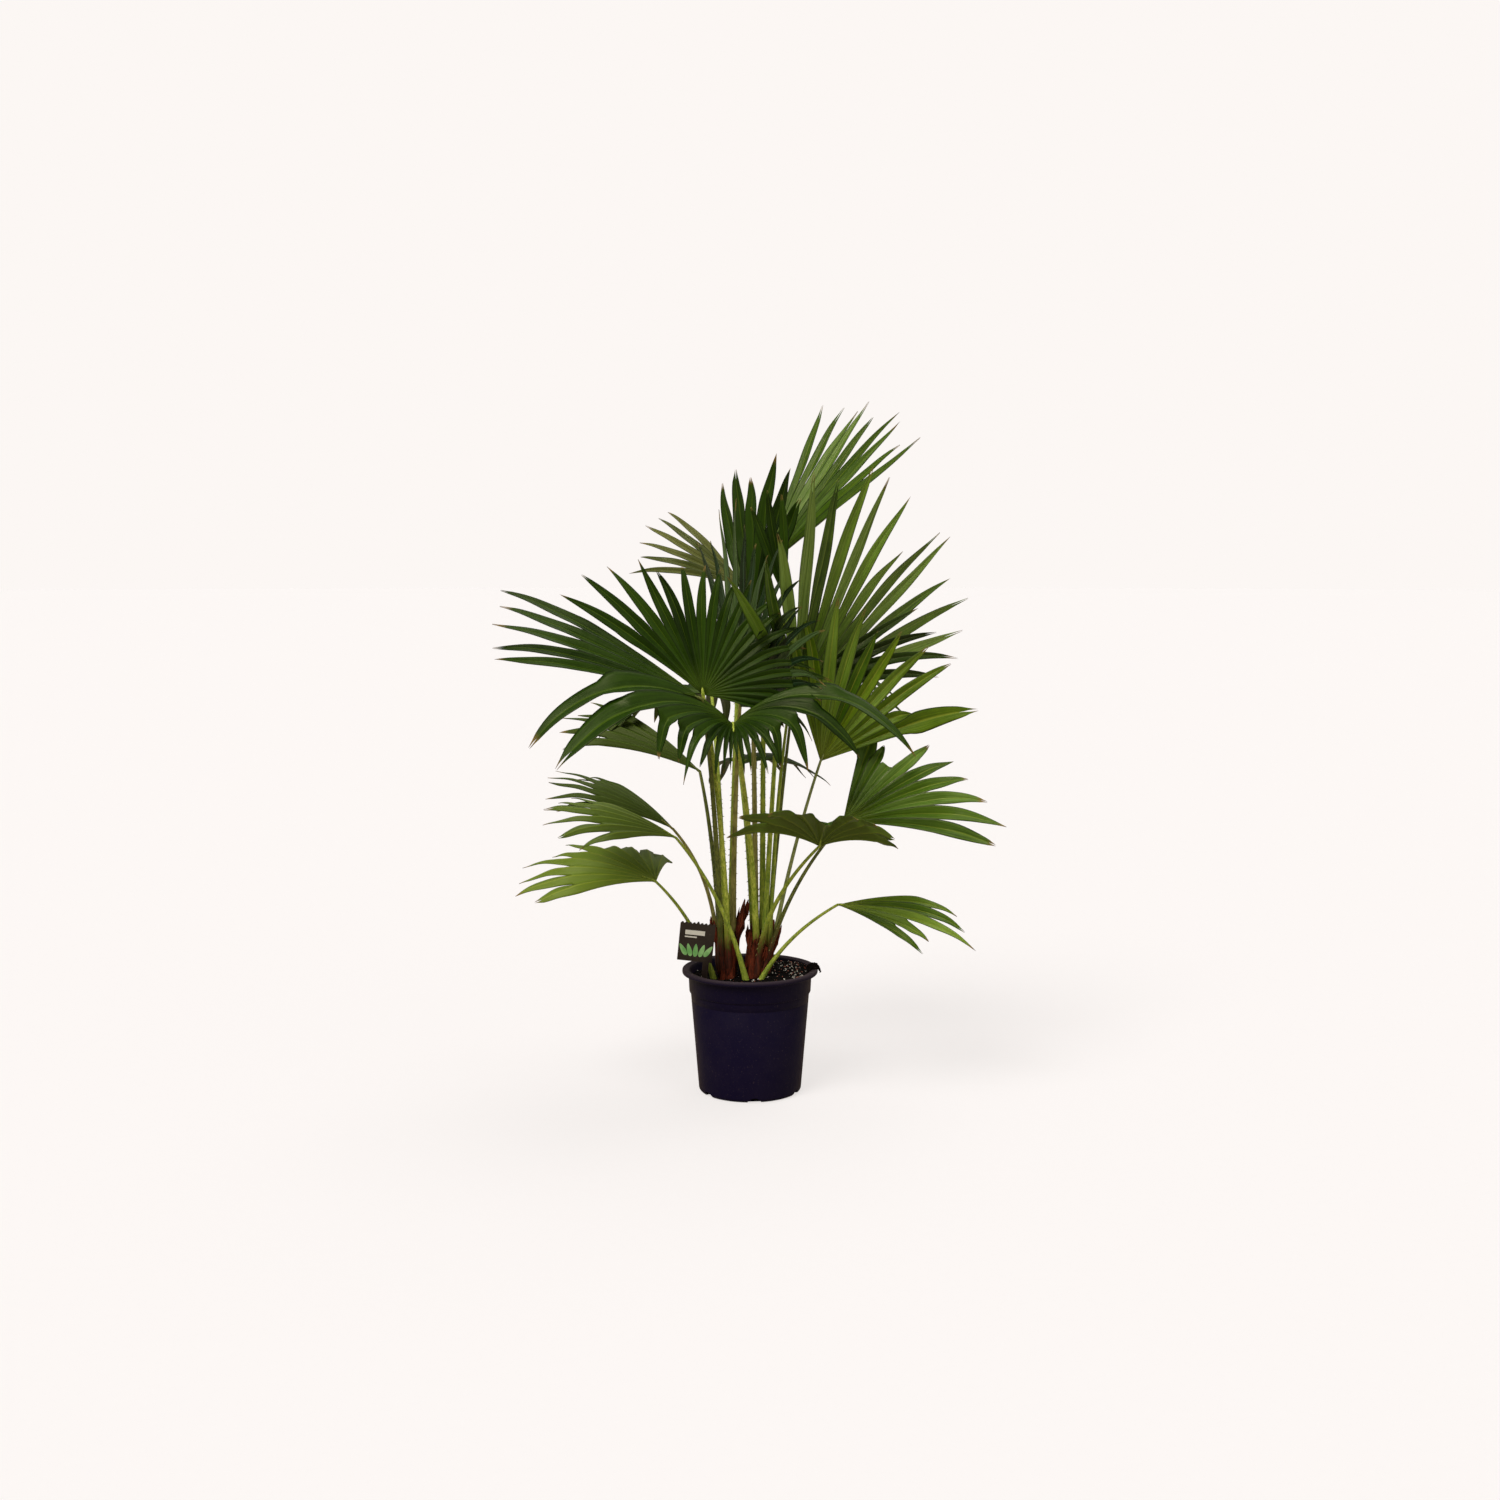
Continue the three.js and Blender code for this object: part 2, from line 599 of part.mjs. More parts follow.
/** A solid as a named mesh with its own finish. */
function mesh(name, body, colour, roughness) {
  const { vertProperties, triVerts, numProp } = body.getMesh();
  const position = new Float32Array((vertProperties.length / numProp) * 3);
  for (let i = 0; i < position.length / 3; i += 1) {
    for (let k = 0; k < 3; k += 1) position[3 * i + k] = vertProperties[numProp * i + k];
  }
  const shape = new THREE.BufferGeometry();
  shape.setAttribute('position', new THREE.BufferAttribute(position, 3));
  shape.setIndex(new THREE.BufferAttribute(new Uint32Array(triVerts), 1));
  shape.computeVertexNormals();
  const finish = new THREE.MeshStandardMaterial({
    color: colour, roughness, metalness: 0, flatShading: true,
  });
  const piece = new THREE.Mesh(shape, finish);
  piece.name = name;
  return piece;
}

const palm = new THREE.Group();
palm.name = 'fan_palm_in_pot';

const names = Object.keys(LEAVES);
const stems = Object.fromEntries(Object.keys(STEMS).map((key) => [key, stem(STEMS[key])]));
const stemSpace = Object.values(STEMS).map((spec) => stem(spec, GAP));
const labelSpace = label(GAP);

// Stalks come out of their stem, clear of it and of one another.
const stalks = {};
const stalkSpace = {};
for (const name of names) {
  let body = stalk(LEAVES[name]);
  for (const other of [...stemSpace, labelSpace, ...Object.values(stalkSpace)]) {
    if (near(body, other)) body = body.subtract(other);
  }
  stalks[name] = largest(body);
  stalkSpace[name] = stalk(LEAVES[name], GAP);
}

// Blades keep clear of every stalk and of the blades in front of them.
const blades = {};
const bladeSpace = [];
for (const name of names) {
  let body = blade(LEAVES[name]);
  for (const other of [...Object.values(stalkSpace), ...stemSpace, labelSpace, ...bladeSpace]) {
    if (near(body, other)) body = body.subtract(other);
  }
  blades[name] = largest(body);
  bladeSpace.push(blade(LEAVES[name], GAP));
}

// Stems, soil-grown stalks and the stake stand in pockets of the soil.
let mix = soil();
for (const other of [...stemSpace, labelSpace, ...Object.values(stalkSpace)]) {
  if (near(mix, other)) mix = mix.subtract(other);
}

palm.add(mesh('pot', pot(), COLOUR.pot, 0.5));
palm.add(mesh('soil', largest(mix), COLOUR.soil, 0.95));
for (const key of Object.keys(STEMS)) palm.add(mesh(`stem_${key}`, stems[key], COLOUR.stem, 0.85));
for (const name of names) {
  palm.add(mesh(`stalk_${name}`, stalks[name], COLOUR.stalk, 0.5));
  palm.add(mesh(`blade_${name}`, blades[name], COLOUR.blade, 0.45));
}
palm.add(mesh('label', label(), COLOUR.label, 0.4));

export default palm;
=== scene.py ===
"""A young fan palm in its nursery pot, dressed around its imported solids.

Metres, +Z up, the front of the plant towards -Y. Blades, stalks, stems, potting mix, pot and label
stand in for the plain solids: each follows the same rule, carried on to finer shapes.
"""

from __future__ import annotations

import logging
import math
from dataclasses import dataclass, field
from enum import Enum, IntEnum
from typing import Callable, Sequence

import bmesh
import bpy
import numpy as np
from mathutils import Matrix, Vector


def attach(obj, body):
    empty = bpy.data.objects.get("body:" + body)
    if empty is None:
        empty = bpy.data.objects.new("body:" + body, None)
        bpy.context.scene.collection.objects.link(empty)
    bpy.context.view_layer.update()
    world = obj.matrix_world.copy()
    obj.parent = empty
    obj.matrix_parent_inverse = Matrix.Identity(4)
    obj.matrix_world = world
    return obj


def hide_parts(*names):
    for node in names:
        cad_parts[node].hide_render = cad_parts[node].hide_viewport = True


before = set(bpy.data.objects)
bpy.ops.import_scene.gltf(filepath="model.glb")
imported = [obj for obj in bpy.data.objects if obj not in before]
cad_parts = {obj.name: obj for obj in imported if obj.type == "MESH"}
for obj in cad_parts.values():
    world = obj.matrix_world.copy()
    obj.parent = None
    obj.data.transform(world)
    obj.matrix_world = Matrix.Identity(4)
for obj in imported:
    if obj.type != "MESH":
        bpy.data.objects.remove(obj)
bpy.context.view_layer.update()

log = logging.getLogger("fan_palm")

BODY = "root"
DOWN = np.array((0.0, 0.0, -1.0))
POT_HEIGHT = 0.22

Array = np.ndarray
Node, Socket, Tree = bpy.types.Node, bpy.types.NodeSocket, bpy.types.NodeTree
Mesh, Material, Object = bpy.types.Mesh, bpy.types.Material, bpy.types.Object
Point = tuple[float, float, float]
Colour = tuple[float, float, float, float]
Outline = list[tuple[float, float]]
Shares = tuple[float, float, float, float]


# ---- shared values ----


class Coat(Enum):
    """The colourings of the blades."""

    DEEP = "deep"
    BLUE = "blue"
    MID = "mid"
    FRESH = "fresh"
    OLIVE = "olive"
    KHAKI = "khaki"
    SHADE = "shade"


class StalkCoat(Enum):
    """The colourings of the leaf stalks."""

    BRIGHT = "bright"
    GREEN = "green"
    BROWNISH = "brownish"
    DARK = "dark"
    GREY = "grey"


class Clump(Enum):
    """The two stems."""

    LEFT = "left"
    RIGHT = "right"


class Ring(Enum):
    """The two rings of stalks round the top of a stem."""

    INNER = "inner"
    OUTER = "outer"


class Draw(IntEnum):
    """Where each kind of scatter starts among a leaf's draws."""

    LEAN = 0
    TWIST = 30
    LENGTH = 50
    FORK = 90
    FORK_AT = 110
    TINT = 130
    DROOP = 150
    RIPPLE = 170
    SPINE = 400


@dataclass(frozen=True)
class StemFoot:
    """A stalk's foot on a stem: the side of it in degrees round from the right, and its ring."""

    clump: Clump
    angle: float
    ring: Ring


@dataclass(frozen=True)
class SoilFoot:
    """A stalk's foot in the potting mix."""

    x: float
    y: float


def paint(code: str) -> Colour:
    """A shader colour from a six-digit colour code, along the curve of standard screens."""
    shares = [int(code[i : i + 2], 16) / 255 for i in (0, 2, 4)]
    linear = [c / 12.92 if c <= 0.04045 else ((c + 0.055) / 1.055) ** 2.4 for c in shares]
    return (linear[0], linear[1], linear[2], 1.0)


def unit(vectors: Array) -> Array:
    """Vectors brought to length one, along the last axis."""
    return vectors / np.maximum(np.linalg.norm(vectors, axis=-1, keepdims=True), 1e-12)


def smooth(values: Array | float) -> Array:
    """A soft step from 0 to 1 over the same range."""
    t = np.clip(values, 0.0, 1.0)
    return t * t * (3 - 2 * t)


def all_round(count: int) -> Array:
    """Angles at even steps round a full turn."""
    return np.linspace(0, math.tau, count, endpoint=False)


def round_about(radius: Array, angle: Array, height: Array | float) -> Array:
    """Places round the upright axis, at a radius, an angle and a height."""
    return np.stack(np.broadcast_arrays(radius * np.cos(angle), radius * np.sin(angle), height), axis=-1)


# ---- meshes ----


class Surface:
    """Points and faces of one piece, gathered from grids and rings."""

    def __init__(self) -> None:
        """Starts with nothing."""
        self.points = np.zeros((0, 3))
        self.lay = np.zeros((0, 2))
        self.half = np.zeros(0)
        self.faces: list[tuple[int, ...]] = []
        self.slots: list[int] = []

    def add_points(
        self, points: Array, lay: Array | None = None, half: Array | float = 0.0
    ) -> Array:
        """Adds points of any grid shape.

        Args:
            points: The points, with x, y and z on the last axis.
            lay: Where each lies on its own part, as two numbers a point.
            half: Half the thickness that each point is to have.

        Returns:
            The new points' numbers, in the grid's shape.
        """
        start = len(self.points)
        shape = points.shape[:-1]
        count = int(np.prod(shape))
        self.points = np.vstack([self.points, points.reshape(-1, 3)])
        flat = np.zeros((count, 2)) if lay is None else np.asarray(lay).reshape(-1, 2)
        self.lay = np.vstack([self.lay, flat])
        self.half = np.concatenate([self.half, np.broadcast_to(half, shape).reshape(-1)])
        return start + np.arange(count).reshape(shape)

    def add_faces(self, quads: Array, slot: int = 0) -> None:
        """Adds faces that wear the material of a slot."""
        rows = [tuple(int(i) for i in row) for row in quads.reshape(-1, quads.shape[-1])]
        self.faces += rows
        self.slots += [slot] * len(rows)

    def grid(
        self,
        points: Array,
        lay: Array | None = None,
        half: Array | float = 0.0,
        slot: int = 0,
        around: bool = False,
    ) -> Array:
        """Adds a grid of points with quads between them.

        Args:
            points: Rows by columns of points. Columns run to the left, seen from outside.
            lay: Two numbers a point for a pattern that follows the surface.
            half: Half the thickness.
            slot: The material slot.
            around: Whether the last column joins the first.

        Returns:
            The points' numbers.
        """
        index = self.add_points(points, lay, half)
        wrap = np.hstack([index, index[:, :1]]) if around else index
        quads = np.stack([wrap[:-1, :-1], wrap[:-1, 1:], wrap[1:, 1:], wrap[1:, :-1]], axis=-1)
        self.add_faces(quads, slot)
        return index

    def cap(self, ring: Array, centre: Sequence[float], turned: bool = False) -> None:
        """Closes a ring of points with triangles to a middle point."""
        middle = self.add_points(np.array([centre], dtype=float))[0]
        after = np.roll(ring, -1)
        first, second = (after, ring) if turned else (ring, after)
        self.add_faces(np.stack([np.full_like(ring, middle), first, second], axis=-1))

    def weld(self, distance: float = 1e-6) -> None:
        """Joins points that lie on one another, and drops faces that this leaves without area."""
        keys = np.round(self.points / distance).astype(np.int64)
        _, first, back = np.unique(keys, axis=0, return_index=True, return_inverse=True)
        back = back.reshape(-1)
        self.points, self.lay, self.half = self.points[first], self.lay[first], self.half[first]
        faces, slots = [], []
        for face, slot in zip(self.faces, self.slots):
            ids = [int(back[i]) for i in face]
            kept = tuple(a for a, b in zip(ids, ids[1:] + ids[:1]) if a != b)
            if len(set(kept)) >= 3:
                faces.append(kept)
                slots.append(slot)
        self.faces, self.slots = faces, slots

    def normals(self) -> Array:
        """The way that the surface looks at each point."""
        total = np.zeros_like(self.points)
        for size in (3, 4):
            rows = np.array([face for face in self.faces if len(face) == size])
            if not len(rows):
                continue
            corners = self.points[rows]
            if size == 4:
                way = np.cross(corners[:, 2] - corners[:, 0], corners[:, 3] - corners[:, 1])
            else:
                way = np.cross(corners[:, 1] - corners[:, 0], corners[:, 2] - corners[:, 0])
            for column in range(size):
                np.add.at(total, rows[:, column], way)
        return unit(total)

    def thicken(self, under_slot: int | None = None) -> None:
        """Turns the open surface into a thin closed solid with the thickness of its points.

        Args:
            under_slot: The material slot of the lower side, where it isn't the upper one's.
        """
        count = len(self.points)
        offset = self.normals() * self.half[:, None]
        self.points = np.vstack([self.points + offset, self.points - offset])
        self.lay = np.vstack([self.lay, self.lay])
        self.half = np.concatenate([self.half, self.half])
        edges = {}
        for face, slot in zip(self.faces, self.slots):
            for a, b in zip(face, face[1:] + face[:1]):
                edges[(a, b)] = slot
        rims = [(a, b, slot) for (a, b), slot in edges.items() if (b, a) not in edges]
        lower = [tuple(i + count for i in reversed(face)) for face in self.faces]
        lower_slots = [slot if under_slot is None else under_slot for slot in self.slots]
        self.faces += lower + [(b, a, a + count, b + count) for a, b, _ in rims]
        self.slots += lower_slots + [slot for _, _, slot in rims]

    def mesh(self, *materials: Material) -> Mesh:
        """A smooth mesh with one material a slot, and the pattern's place in the UV map named lay."""
        mesh = bpy.data.meshes.new("surface")
        mesh.from_pydata(self.points.tolist(), [], self.faces)
        for material in materials:
            mesh.materials.append(material)
        mesh.polygons.foreach_set("material_index", self.slots)
        mesh.shade_smooth()
        corner = np.zeros(len(mesh.loops), dtype=np.int32)
        mesh.loops.foreach_get("vertex_index", corner)
        layer = mesh.uv_layers.new(name="lay")
        layer.data.foreach_set("uv", self.lay[corner].astype(np.float32).ravel())
        mesh.update()
        return mesh


def placed(name: str, data: bpy.types.ID) -> Object:
    """A new object of the scene."""
    made = bpy.data.objects.new(name, data)
    bpy.context.scene.collection.objects.link(made)
    return made


def mark(mesh: Mesh, name: str, values: Array) -> None:
    """Gives each of a mesh's points a number or a vector of its own."""
    kind, key = ("FLOAT", "value") if values.ndim == 1 else ("FLOAT_VECTOR", "vector")
    mesh.attributes.new(name, kind, "POINT").data.foreach_set(key, values.ravel())


def settle(
    mesh: Mesh, name: str, replaces: Sequence[str] = (), creases: float | None = None
) -> None:
    """Puts a finished mesh into the scene as one piece, which rides on the plant's one body.

    Args:
        mesh: The mesh, in its place.
        name: The piece's name.
        replaces: The plain solids that the piece stands for.
        creases: Edges that bend by more than this angle, in degrees, stay crisp.
    """
    if creases is not None:
        mesh.set_sharp_from_angle(angle=math.radians(creases))
    mesh.name = name
    piece = placed(name, mesh)
    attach(piece, BODY)
    if replaces:
        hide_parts(*replaces)
    log.info("%s: %d faces", name, len(mesh.polygons))


def evaluated(mesh: Mesh, modify: Callable[[Object], None]) -> Mesh:
    """A plain mesh from one that modifiers have worked on.

    Args:
        mesh: The mesh to start from.
        modify: A function that adds the modifiers to the object it is given.

    Returns:
        The new mesh. The object and its modifiers are gone.
    """
    holder = placed("holder", mesh)
    modify(holder)
    graph = bpy.context.evaluated_depsgraph_get()
    result = bpy.data.meshes.new_from_object(holder.evaluated_get(graph), depsgraph=graph)
    bpy.data.objects.remove(holder)
    return result


# ---- node trees ----


class Recipe:
    """Adds nodes to a tree and joins them."""

    def __init__(self, tree: Tree) -> None:
        """Works on one tree."""
        self.tree = tree

    def feed(self, socket: Socket, value: object) -> None:
        """Gives an input a value, or joins it to an output."""
        if isinstance(value, Node):
            value = value.outputs[0]
        if isinstance(value, Socket):
            self.tree.links.new(value, socket)
        elif value is not None:
            socket.default_value = value

    def add(self, kind: str, *values: object, **settings: object) -> Node:
        """Adds a node.

        Args:
            kind: Its type.
            values: What its inputs take, in order. None leaves one as it is.
            settings: Its properties, set before the inputs.

        Returns:
            The node.
        """
        node = self.tree.nodes.new(kind)
        for key, value in settings.items():
            setattr(node, key, value)
        for socket, value in zip(node.inputs, values):
            self.feed(socket, value)
        return node

    def maths(self, operation: str, *values: object, clamp: bool = False) -> Socket:
        """The result of one sum on numbers."""
        return self.add("ShaderNodeMath", *values, operation=operation, use_clamp=clamp).outputs[0]

    def times(self, value: object, factor: object) -> Socket:
        """The product of two numbers."""
        return self.maths("MULTIPLY", value, factor)

    def times_plus(self, value: object, factor: object, more: object, clamp: bool = False) -> Socket:
        """The product of two numbers with a third added to it."""
        return self.maths("MULTIPLY_ADD", value, factor, more, clamp=clamp)

    def vector(self, operation: str, *values: object) -> Socket:
        """The result of one sum on vectors."""
        return self.add("ShaderNodeVectorMath", *values, operation=operation).outputs[0]

    def span(self, value: object, low: float, high: float, start: float, end: float) -> Socket:
        """A number carried softly from one range to another."""
        node = self.add("ShaderNodeMapRange", value, low, high, start, end, interpolation_type="SMOOTHSTEP")
        return node.outputs[0]

    def mix(self, share: object, first: object, second: object) -> Socket:
        """A colour between two others."""
        node = self.add("ShaderNodeMix", data_type="RGBA")
        colours = [socket for socket in node.inputs if socket.type == "RGBA"]
        self.feed(node.inputs[0], share)
        self.feed(colours[0], first)
        self.feed(colours[1], second)
        return next(socket for socket in node.outputs if socket.type == "RGBA")

    def scaled(self, vector: object, factor: object) -> Socket:
        """A vector made longer or shorter."""
        node = self.add("ShaderNodeVectorMath", vector, operation="SCALE")
        self.feed(node.inputs["Scale"], factor)
        return node.outputs[0]

    def noise(self, vector: object, scale: object, detail: float = 2.0, rough: float = 0.5) -> Socket:
        """A noise value at a place."""
        node = self.add("ShaderNodeTexNoise")
        for key, value in {"Vector": vector, "Scale": scale, "Detail": detail, "Roughness": rough}.items():
            self.feed(node.inputs[key], value)
        return node.outputs[0]

    def chance(self, low: object, high: object, seed: object) -> Socket:
        """A number drawn between two others, for each element of a shape."""
        node = self.add("FunctionNodeRandomValue", data_type="FLOAT")
        self.feed(node.inputs[2], low)
        self.feed(node.inputs[3], high)
        self.feed(node.inputs["Seed"], seed)
        return node.outputs[1]

    def chance_vector(self, low: Point, high: Point, seed: object) -> Socket:
        """A vector drawn between two others, for each element of a shape."""
        node = self.add("FunctionNodeRandomValue", low, high, data_type="FLOAT_VECTOR")
        self.feed(node.inputs["Seed"], seed)
        return node.outputs[0]

    def attribute(self, name: str, kind: str = "FLOAT") -> Socket:
        """A value that a shape's points carry."""
        return self.add("GeometryNodeInputNamedAttribute", name, data_type=kind).outputs[0]

    def spots(self, surface: object, density: object, seed: object) -> Node:
        """Points strewn over a surface."""
        node = self.add("GeometryNodeDistributePointsOnFaces", surface)
        self.feed(node.inputs["Density"], density)
        self.feed(node.inputs["Seed"], seed)
        return node

    def copies(self, points: object, shape: object, turn: object, size: object) -> Node:
        """A real copy of a shape at each point, turned and sized."""
        node = self.add("GeometryNodeInstanceOnPoints", points, None, shape)
        self.feed(node.inputs["Rotation"], turn)
        self.feed(node.inputs["Scale"], size)
        return self.add("GeometryNodeRealizeInstances", node)

    def dress(self, shape: object, material: object, end: Node) -> None:
        """Gives a shape its material and sends it out of the tree."""
        self.feed(end.inputs[0], self.add("GeometryNodeSetMaterial", shape, None, material))


def group(
    kind: str, name: str, inputs: dict[str, str], outputs: dict[str, str]
) -> tuple[Recipe, dict[str, Socket], Node]:
    """Starts a node group.

    Args:
        kind: Shader or Geometry.
        name: The group's name.
        inputs: Socket types by name.
        outputs: Socket types by name.

    Returns:
        The recipe, the group's inputs by name, and its output node.
    """
    tree = bpy.data.node_groups.new(name, f"{kind}NodeTree")
    for way, sockets in (("INPUT", inputs), ("OUTPUT", outputs)):
        for label, socket in sockets.items():
            tree.interface.new_socket(name=label, in_out=way, socket_type=f"NodeSocket{socket}")
    recipe = Recipe(tree)
    start = recipe.add("NodeGroupInput")
    end = recipe.add("NodeGroupOutput")
    return recipe, {label: start.outputs[label] for label in inputs}, end


class Effects:
    """Shader node groups that several finishes share."""

    FINER = 3.3  # thin streaks to broad ones
    FLECK_SIZE = 14.0  # patches to flecks
    RIB_HALF = 0.09  # half a rib's width, in shares of a segment's
    SEAM_FROM = 0.4  # where the shadow of a seam starts, in the same shares
    DRY_FROM = 0.965  # where a tip turns dry, in shares of its length
    DRY_TO = 1.02
    DRY_SCATTER = 0.05

    def __init__(self) -> None:
        """Builds each group once."""
        self.streaks = self._streaks()
        self.blotches = self._blotches()
        self.folds = self._folds()

    def _streaks(self) -> Tree:
        """Fine lines along the grain, from a vector that is short along it."""
        inputs = {"Vector": "Vector", "Scale": "Float"}
        outputs = {"Streak": "Float", "Height": "Float"}
        recipe, start, end = group("Shader", "streaks", inputs, outputs)
        broad = recipe.noise(start["Vector"], start["Scale"], 2.0, 0.55)
        thin = recipe.noise(start["Vector"], recipe.times(start["Scale"], self.FINER), 1.0)
        both = recipe.maths("ADD", recipe.times(broad, 0.6), recipe.times(thin, 0.4))
        recipe.feed(end.inputs["Streak"], recipe.span(both, 0.36, 0.64, 0.0, 1.0))
        recipe.feed(end.inputs["Height"], both)
        return recipe.tree

    def _blotches(self) -> Tree:
        """Soft patches and small sparse flecks."""
        inputs = {"Vector": "Vector", "Scale": "Float"}
        outputs = {"Patch": "Float", "Fleck": "Float"}
        recipe, start, end = group("Shader", "blotches", inputs, outputs)
        patch = recipe.noise(start["Vector"], start["Scale"], 3.0, 0.6)
        fleck = recipe.noise(start["Vector"], recipe.times(start["Scale"], self.FLECK_SIZE), 1.0)
        recipe.feed(end.inputs["Patch"], recipe.span(patch, 0.35, 0.68, 0.0, 1.0))
        recipe.feed(end.inputs["Fleck"], recipe.span(fleck, 0.66, 0.74, 0.0, 1.0))
        return recipe.tree

    def _folds(self) -> Tree:
        """Where a place lies on a pleated fan: its rib, seam, part of the way out, shade and dry tip."""
        outputs = {name: "Float" for name in ("Rib", "Seam", "Part", "Shade", "Dry")}
        recipe, start, end = group("Shader", "folds", {"Lay": "Vector"}, outputs)
        lay = recipe.add("ShaderNodeSeparateXYZ", start["Lay"])
        finger = recipe.maths("FLOOR", lay.outputs[0])
        across = recipe.maths("SUBTRACT", lay.outputs[0], finger)
        off = recipe.maths("ABSOLUTE", recipe.maths("SUBTRACT", across, 0.5))
        shade = recipe.add("ShaderNodeTexWhiteNoise", noise_dimensions="1D")
        recipe.feed(shade.inputs["W"], finger)
        scatter = recipe.times(shade.outputs[0], self.DRY_SCATTER)
        near_end = recipe.maths("ADD", lay.outputs[1], scatter)
        recipe.feed(end.inputs["Rib"], recipe.span(off, 0.0, self.RIB_HALF, 1.0, 0.0))
        recipe.feed(end.inputs["Seam"], recipe.span(off, self.SEAM_FROM, 0.5, 0.0, 1.0))
        recipe.feed(end.inputs["Part"], lay.outputs[1])
        recipe.feed(end.inputs["Shade"], shade.outputs[0])
        recipe.feed(end.inputs["Dry"], recipe.span(near_end, self.DRY_FROM, self.DRY_TO, 0.0, 1.0))
        return recipe.tree


class Finish:
    """A material while it is worked out: a Principled shader and the recipe that feeds it."""

    def __init__(self, name: str, **constants: object) -> None:
        """Starts a material.

        Args:
            name: Its name.
            constants: Values for the shader's own sockets, with underscores for spaces.
        """
        self.material = bpy.data.materials.new(name)
        self.material.use_nodes = True
        self.recipe = Recipe(self.material.node_tree)
        self.shader = self.material.node_tree.nodes["Principled BSDF"]
        for key, value in constants.items():
            self.shader.inputs[key.replace("_", " ")].default_value = value
        self.place = self.recipe.add("ShaderNodeTexCoord").outputs["Object"]

    def effect(self, tree: Tree, *values: object) -> dict[str, Socket]:
        """Places a shared effect with its own values, and gives its outputs by name."""
        return dict(self.recipe.add("ShaderNodeGroup", *values, node_tree=tree).outputs.items())

    def stretched(self, upwards: float) -> Socket:
        """The place on the object, with its height scaled by a factor."""
        return self.recipe.vector("MULTIPLY", self.place, (1.0, 1.0, upwards))

    def height(self) -> Socket:
        """The height on the object."""
        return self.recipe.add("ShaderNodeSeparateXYZ", self.place).outputs[2]

    def done(self, colour: object, roughness: object, height: object = None, depth: float = 0.0) -> Material:
        """Feeds the shader.

        Args:
            colour: The base colour.
            roughness: The roughness.
            height: A value from 0 to 1 that raises the surface.
            depth: How far it raises it.

        Returns:
            The material.
        """
        self.recipe.feed(self.shader.inputs["Base Color"], colour)
        self.recipe.feed(self.shader.inputs["Roughness"], roughness)
        if height is not None:
            bump = self.recipe.add("ShaderNodeBump")
            self.recipe.feed(bump.inputs["Distance"], depth)
            self.recipe.feed(bump.inputs["Height"], height)
            self.recipe.feed(self.shader.inputs["Normal"], bump.outputs[0])
        return self.material


VALLEY_SHADE = "0a1803"  # painted shade in the crease where two segments of a blade meet
PAINTED_HIGHLIGHT = "a6c672"  # a painted highlight on the palest segments of a blade
WAX = (1.0, 1.0, 0.6, 1.0)  # what the waxy skin throws back


